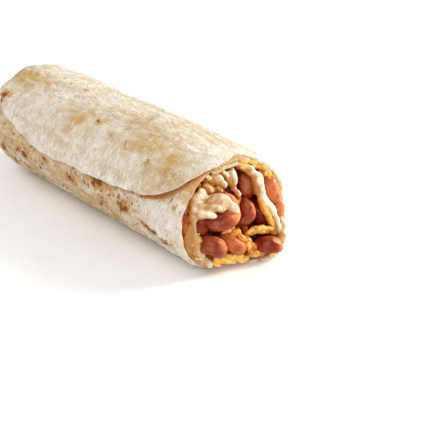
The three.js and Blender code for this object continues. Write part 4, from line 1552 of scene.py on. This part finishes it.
@dataclass
class Sauce:
    """Melted sauce poured as several runs that flow into each other."""

    name: str
    runs: tuple[Run, ...]
    voxel: float = 0.42 * MM
    smoothing: int = 7
    sides: int = 20
    body_points: int = 60
    shade_points: int = 40
    facing: Point = (0.85, -0.4, 0.35)
    wobble: float = 0.42
    sink: float = 0.6 * MM
    edge_thinning: float = 1.25
    ripple: float = 0.42 * MM
    # Strength of the painted light: paler towards the light, darker away from it.
    painted_light_gain: float = 0.8
    patches: float = 0.14

    def run_body(self, run: Run) -> tuple[Array, Faces]:
        """One run as a closed body with rounded ends.

        Args:
            run: The run.

        Returns:
            The vertices and the faces.
        """
        line = run.line(self.body_points)
        tangent = unit(np.gradient(line, axis=0))
        across = unit(np.cross(tangent, np.array(self.facing)))
        out = np.cross(across, tangent)
        t = np.linspace(0, 1, self.body_points)
        width = along_run(run.widths, self.body_points) * MM
        length = np.linalg.norm(np.diff(line, axis=0), axis=1).sum()
        end = np.minimum(t, 1 - t) * length / (width / 2)
        round_end = np.sqrt(np.clip(1 - (1 - np.clip(end, 0, 1)) ** 2, 0.02, 1))
        turn = 2 * np.pi * np.arange(self.sides) / self.sides
        right, left, rise = (1 + self.wobble * lumps(line, 4 * MM, 2, seed) for seed in (11.0, 23.0, 5.0))
        side = np.where(np.cos(turn)[None, :] > 0, right[:, None], left[:, None])
        reach = (np.cos(turn)[None, :] * side * (width / 2 * round_end)[:, None])[..., None]
        thick = run.thickness * MM / 2 * round_end * np.clip(width / np.max(width), 0.6, 1) * rise
        bulge = np.sign(np.sin(turn)) * np.abs(np.sin(turn)) ** self.edge_thinning
        rings = (
            (line - unit(np.array(self.facing)) * self.sink)[:, None, :]
            + across[:, None, :] * reach
            + out[:, None, :] * bulge[None, :, None] * thick[:, None, None]
        )
        return loft(rings, line[0], line[-1])

    def build(self, material: Material) -> Object:
        """Makes the sauce: its runs joined into one skin and smoothed.

        Args:
            material: Its finish.

        Returns:
            The sauce.
        """
        draft = Draft()
        for run in self.runs:
            points, faces = self.run_body(run)
            draft.add(place(points), faces)
        made = draft.build(self.name, material)
        remesh = made.modifiers.new("one skin", "REMESH")
        remesh.mode = "VOXEL"
        remesh.voxel_size = self.voxel
        ease = made.modifiers.new("flow", "SMOOTH")
        ease.iterations = self.smoothing
        ease.factor = 0.6
        return self.finish_skin(made, material)

    def finish_skin(self, made: Object, material: Material) -> Object:
        """Keeps the modifiers' result as the mesh, uneven as sauce is, with its shade.

        Args:
            made: The sauce with its modifiers.
            material: Its finish.

        Returns:
            The same object with its final mesh.
        """
        graph = bpy.context.evaluated_depsgraph_get()
        mesh = bpy.data.meshes.new_from_object(made.evaluated_get(graph))
        made.modifiers.clear()
        made.data = mesh
        points, normals = np.empty((2, len(mesh.vertices) * 3))
        mesh.vertices.foreach_get("co", points)
        mesh.vertex_normals.foreach_get("vector", normals)
        points, normals = points.reshape(-1, 3), normals.reshape(-1, 3)
        ripples = lumps(points, 3.4 * MM, 2, 1.0) + 0.2 * lumps(points, 1.5 * MM, 1, 8.0)
        points = points + normals * (self.ripple * ripples)[:, None]
        points = place(ROLL.keep_inside(points - SHUT_END))
        mesh.vertices.foreach_set("co", points.ravel())
        layer = mesh.attributes.new("shade", "FLOAT", "POINT")
        layer.data.foreach_set("value", self.shade(points, normals))
        mesh.polygons.foreach_set("use_smooth", [True] * len(mesh.polygons))
        mesh.materials.clear()
        mesh.materials.append(material)
        mesh.update()
        return made

    def shade(self, points: Array, normals: Array) -> Array:
        """How milky the sauce is: most on its ridges, least at its thin edges, with painted light on top:
        paler on the side that faces the light and darker on the side away from it.

        Args:
            points: The sauce's vertices, in the frame.
            normals: Their normals.

        Returns:
            A value of 0 to 1 for each vertex.
        """
        best = np.full(len(points), np.inf)
        shade = np.zeros(len(points))
        row = np.arange(len(points))
        facing = unit(np.array(self.facing))
        for run in self.runs:
            milk = along_run(run.milk, self.shade_points)
            offset = points[:, None, :] - place(run.line(self.shade_points))[None, :, :]
            distance = np.linalg.norm(offset, axis=-1)
            nearest = distance.argmin(axis=1)
            height = offset[row, nearest] @ facing / (run.thickness / 2 * MM)
            value = milk[nearest] * lerp(0.35, 1.0, smooth(height + 0.3, 0.9))
            closer = distance[row, nearest] < best
            best = np.where(closer, distance[row, nearest], best)
            shade = np.where(closer, value, shade)
        # Painted light: paler where the surface faces the light, darker where it faces away.
        painted_light = self.painted_light_gain * normals @ PAINTED_LIGHT_SIDE
        return np.clip(shade + painted_light + self.patches * lumps(points, 3 * MM, 2, 4.0), 0, 1)


RIGHT_SAUCE = Sauce("cheese_run_right", (
    Run(
        (
            (172, 7.2, 47.6), (173.8, 11, 45.8), (175.4, 13.4, 43), (176.6, 15.0, 39.2),
            (177.4, 15.4, 34.8), (178.5, 16.5, 30.1), (179.8, 19.2, 25.4), (181.2, 21.3, 20.6),
            (182.6, 22.3, 16), (184, 20.8, 11.5),
        ),
        (3.2, 4.4, 5.4, 5.6, 5.4, 5, 4.6, 4.6, 4.4, 3.4), 3.2,
        (0.1, 0.25, 0.5, 0.65, 0.7, 0.75, 0.7, 0.55, 0.4, 0.3),
    ),
    Run(
        ((181, 25.6, 18), (183.4, 25.4, 13.6), (185.6, 23, 9.8), (187, 20.4, 8)),
        (2.6, 4.6, 5.6, 4.4), 2.6, (0.3, 0.2, 0.15, 0.15),
    ),
    Run(((176.2, 12.6, 41), (177, 14, 37.6), (177.6, 14.8, 34)), (2.6, 3.4, 2.6), 2.6, (0.4, 0.35, 0.3)),
))

LEFT_SAUCE = Sauce("cheese_pool_left", ripple=0.3 * MM, wobble=0.34, patches=0.18, painted_light_gain=0.55, runs=(
    Run(
        (
            (172.6, -20.4, 39.9), (174.1, -17.4, 38.6), (177.1, -15.7, 38.3), (179.7, -12.5, 37.7),
            (181.9, -8.8, 35.8), (183.2, -6.2, 33.6), (183.8, -3.9, 30.7),
        ),
        (4.6, 6.4, 8, 8, 6.4, 4.6, 2.8), 3.8, (0.1, 0.15, 0.2, 0.3, 0.4, 0.55, 0.8),
    ),
    Run(
        ((175.6, -22.4, 37.2), (178.2, -18.6, 36.6), (180.4, -14.8, 36), (182.4, -10.8, 34.6)),
        (3, 3.6, 3.8, 3.2), 3, (0.25, 0.35, 0.45, 0.5),
    ),
    Run(
        (
            (171.5, -19.4, 42.4), (173, -20.7, 39.8), (174.5, -22.9, 36.9), (175.8, -24.5, 33.4),
            (175.2, -25.4, 29),
        ),
        (5, 6.6, 6.6, 5.8, 2.8), 4, (0.35, 0.45, 0.5, 0.45, 0.3),
    ),
    Run(
        (
            (175.2, -25.4, 29.6), (174.5, -26.2, 25.2), (174.5, -26, 20.8), (174.2, -25.5, 16.3),
            (174.2, -23.9, 11.9), (175.4, -21.2, 8.9), (177.6, -18.4, 6.9),
        ),
        (2.6, 5, 8.8, 8.8, 7, 6.4, 5), 2.8, (0.35, 0.2, 0.15, 0.2, 0.3, 0.45, 0.6),
    ),
    Run(
        ((176.6, -24.6, 34.4), (179, -21.1, 33.8), (180.6, -18.3, 33), (181.6, -15.8, 32)),
        (6, 5.2, 3.8, 2.6), 3.6, (0.6, 0.65, 0.7, 0.7),
    ),
    Run(((171.6, -19, 43.6), (173, -17.6, 42.2), (174.4, -16.6, 40.2)), (2.8, 3.6, 3), 3, (0.7, 0.8, 0.7)),
    Run(
        ((175.6, -24.8, 31), (176, -25, 25), (176, -24.9, 19), (176.4, -23.4, 13), (177.4, -21, 9)),
        (2, 2.6, 3.4, 4, 3.4), 2.6, (0.45, 0.3, 0.2, 0.35, 0.6),
    ),
    Run(((176.8, -20, 8), (177.6, -17.4, 6), (177.9, -15.2, 4.9)), (4, 4.8, 3.4), 3, (0.5, 0.6, 0.5)),
))

TOP_SAUCE = Sauce("cheese_dab_top", (
    Run(
        ((172.2, -12.6, 45.4), (173, -10.6, 46.4), (173.8, -8.4, 46.2), (175.2, -7, 44.4), (176, -4.8, 42.3)),
        (3, 5, 4.8, 3.6, 2.6), 3.4, (0.1, 0.15, 0.25, 0.35, 0.4),
    ),
    Run(
        ((170.6, 1.2, 48.8), (172.3, 2, 46.8), (174, 1.8, 44.2), (175.2, 0.6, 42.1), (175.4, -0.6, 40.6)),
        (2.4, 3, 3.2, 2.8, 2.2), 2.8, (0.25, 0.3, 0.35, 0.25, 0.2),
    ),
    Run(
        ((171.6, -1.6, 48), (173.2, -1.0, 45.2), (174.2, -0.5, 42.6), (174.6, 0, 40.2)),
        (6, 7.8, 6.8, 4.6), 3, (0.2, 0.1, 0.05, 0.05),
    ),
    Run(
        ((171.5, -5.4, 50), (172.4, -4.4, 48.6), (173.2, -3.2, 46.8), (174.2, -2.6, 45)),
        (2, 2.8, 3, 2.2), 2.6, (0.5, 0.45, 0.3, 0.2),
    ),
    Run(
        ((174.4, 0, 40.4), (175, 1.2, 38.2), (175.6, 2.6, 36), (176.2, 3.6, 34.2)),
        (3, 2.8, 3, 2.6), 2.6, (0.05, 0.0, 0.1, 0.35),
    ),
))

CHEDDAR = Sauce("cheddar_run", (
    Run(
        (
            (176.3, 12.9, 37.1), (177, 13.9, 33.3), (178, 15, 29.6), (179, 16.4, 25.2),
            (180.3, 17.9, 20.8), (181.4, 19.3, 16.4), (182.4, 19.4, 12.9),
        ),
        (1.2, 1.6, 2.8, 3.8, 4.2, 4.0, 3.2), 3.2, (0.4, 0.5, 0.7, 0.8, 0.8, 0.8, 0.7),
    ),
))

FILM = Sauce("orange_sauce_film", (
    Run(((171.8, -16.6, 41), (173, -14, 42.4), (173.2, -11.2, 43.8)), (6, 7.4, 5.4), 4, (0.3, 0.35, 0.5)),
    Run(
        ((173, 12.4, 47.6), (174, 21, 42.6), (175, 27.2, 35.6), (176, 29.8, 27.2), (177.2, 29.2, 19)),
        (2.6, 3.2, 3, 2.6, 2.2), 2.2, (0.6, 0.6, 0.6, 0.7, 0.8),
    ),
    Run(
        ((172, -12, 48), (172.6, -4, 50), (172.6, 4, 49.8), (173, 12, 47.4)),
        (2, 2.4, 2.4, 2), 2, (0.6, 0.7, 0.8, 0.7),
    ),
    Run(((173, -10.2, 42.6), (174.5, -8.5, 41), (175.5, -6.7, 39.4)), (4, 4.5, 3.5), 3, (0.3, 0.4, 0.3)),
    Run(((171.5, 4.6, 48.6), (172.5, 8.5, 47.6), (173.5, 11.5, 46)), (3.6, 4.4, 4), 3, (0.6, 0.7, 0.8)),
    Run(((170, -23.6, 40.1), (170.4, -25.6, 36.9), (171, -27.4, 32.6)), (4, 4.5, 3.6), 3, (0.2, 0.25, 0.2)),
    Run(
        ((173, 12.6, 43.4), (174.5, 13.9, 39.3), (175.3, 14, 35.4), (176.2, 14.7, 31.8)),
        (3.5, 4, 3.5, 3), 3, (0.7, 0.6, 0.4, 0.3),
    ),
    Run(((180.2, 21.8, 17.5), (181.8, 20.8, 13.5), (183.4, 20.4, 10.3)), (5.5, 7.5, 6), 3, (0.5, 0.65, 0.8)),
    Run(((178.2, 27.4, 19), (180, 26.8, 15), (181.8, 25, 11.5)), (3, 4, 3.5), 2.6, (0.9, 0.9, 0.8)),
    Run(((175.6, -23.4, 18.5), (176, -22, 14.8), (176.8, -20.6, 11)), (3.5, 5, 4), 3, (0.3, 0.4, 0.5)),
))


# ------------------------------------------------------------------ studio


def hang(name: str, data: bpy.types.ID, at: Vector, target: Vector) -> Object:
    """Puts a light or a camera in its place.

    Args:
        name: The object's name.
        data: The light or the camera.
        at: Where it stands.
        target: What it looks at.

    Returns:
        The object.
    """
    made = bpy.data.objects.new(name, data)
    made.location = at
    made.rotation_mode = "QUATERNION"
    made.rotation_quaternion = (target - at).to_track_quat("-Z", "Y")
    bpy.context.scene.collection.objects.link(made)
    return made


@dataclass(frozen=True)
class SoftBox:
    """A square studio light: where it stands, its side, its power and its colour."""

    name: str
    at: Point
    side: float
    watts: float
    colour: tuple[float, float, float]

    def build(self, target: Vector) -> None:
        """Hangs the light and turns it to its target."""
        data = bpy.data.lights.new(self.name, "AREA")
        data.shape = "SQUARE"
        data.size = self.side
        data.energy = self.watts
        data.color = self.colour
        hang(self.name, data, Vector(self.at), target)


@dataclass
class Studio:
    """Plain pale table, soft white light and the camera."""

    azimuth: float = 48.0
    elevation: float = 26.1
    distance: float = 559.2 * MM
    lens: float = 100.0
    sensor: float = 36.0
    target: Point = (176 * MM, 0.0, 29.5 * MM)
    target_pixel: tuple[float, float] = (234.6, 207.9)
    table_side: float = 6.0
    sky: float = 0.585
    lights: tuple[SoftBox, ...] = (
        SoftBox("key light", (0.5, 0.9, 0.76), 0.4, 6.9, (1.0, 0.985, 0.965)),
        SoftBox("edge light", (0.44, 0.88, 0.36), 0.15, 6.5, (1.0, 0.985, 0.965)),
        SoftBox("fill light", (0.85, -0.75, 0.75), 0.8, 6.7, (1.0, 0.99, 0.98)),
        SoftBox("end light", (-0.7, -0.5, 0.95), 0.8, 4.6, (0.98, 0.99, 1.0)),
    )

    def build(self, material: Material) -> None:
        """Sets up the stage.

        Args:
            material: The table's finish.
        """
        target = Vector(place(np.array(self.target)))
        self.build_camera(target)
        self.build_table(material)
        world = bpy.data.worlds.new("white room")
        world.use_nodes = True
        background = world.node_tree.nodes["Background"]
        background.inputs["Color"].default_value = (1, 1, 1, 1)
        background.inputs["Strength"].default_value = self.sky
        bpy.context.scene.world = world
        bpy.context.scene.view_settings.view_transform = "Standard"
        for light in self.lights:
            light.build(target)
        log.info("studio: %d lights", len(self.lights))

    def build_camera(self, target: Vector) -> None:
        """Places the camera so that the target falls on its pixel of the square picture."""
        a, e = math.radians(self.azimuth), math.radians(self.elevation)
        back = Vector((math.sin(a) * math.cos(e), -math.cos(a) * math.cos(e), math.sin(e)))
        data = bpy.data.cameras.new("camera")
        data.lens = self.lens
        data.sensor_width = self.sensor
        data.shift_x = (PICTURE_SIDE / 2 - self.target_pixel[0]) / PICTURE_SIDE
        data.shift_y = (self.target_pixel[1] - PICTURE_SIDE / 2) / PICTURE_SIDE
        bpy.context.scene.camera = hang("camera", data, target + back * self.distance, target)

    def build_table(self, material: Material) -> None:
        """Lays the table top under the burrito."""
        half = self.table_side / 2
        corners = np.array([[-half, -half, 0], [half, -half, 0], [half, half, 0], [-half, half, 0]])
        draft = Draft().add(corners, [(0, 1, 2, 3)])
        draft.build("table_top", material)


# ------------------------------------------------------------------ assembly


def main() -> None:
    """Builds the burrito and its studio, piece by piece."""
    logging.basicConfig(level=logging.INFO, format="%(name)s: %(message)s")
    finish = {kind: kind.value.build() for kind in Wet}
    Studio().build(FloorFinish().build())
    settle(Tortilla().build(TortillaFinish().build()), "root", "tortilla", "tortilla")
    core = FillingCore()
    settle(core.build(finish[Wet.CORE]), "root", "filling", "filling")
    rice = Grains("rice_grains", core, RICE_HEAPS, 6.6 * MM, 2.8 * MM, scattered=150)
    settle(rice.build(finish[Wet.RICE]), "root", "filling")
    for index, bean in enumerate(Beans().build(finish[Wet.BEAN])):
        settle(bean, "root", "bean", f"bean_{index + 1}")
    settle(RIGHT_SAUCE.build(finish[Wet.CHEESE]), "root", "cheese_sauce", "cheese_sauce_right")
    settle(LEFT_SAUCE.build(finish[Wet.CHEESE]), "root", "cheese_sauce", "cheese_sauce_left")
    settle(TOP_SAUCE.build(finish[Wet.CHEESE]), "root", "cheese_sauce", "cheese_sauce_top")
    settle(CHEDDAR.build(finish[Wet.CHEDDAR]), "root", "cheddar", "melted_cheddar")
    settle(FILM.build(finish[Wet.GRAVY]), "root", "cheddar")
    crumbs = Grains(
        "cheese_crumbs", core, CRUMB_HEAPS, 2.2 * MM, 1.5 * MM, bluntness=2.2, uneven=0.25, seed=9
    )
    settle(crumbs.build(finish[Wet.CRUMB]), "root", "cheese_sauce")


if __name__ == "__main__":
    main()
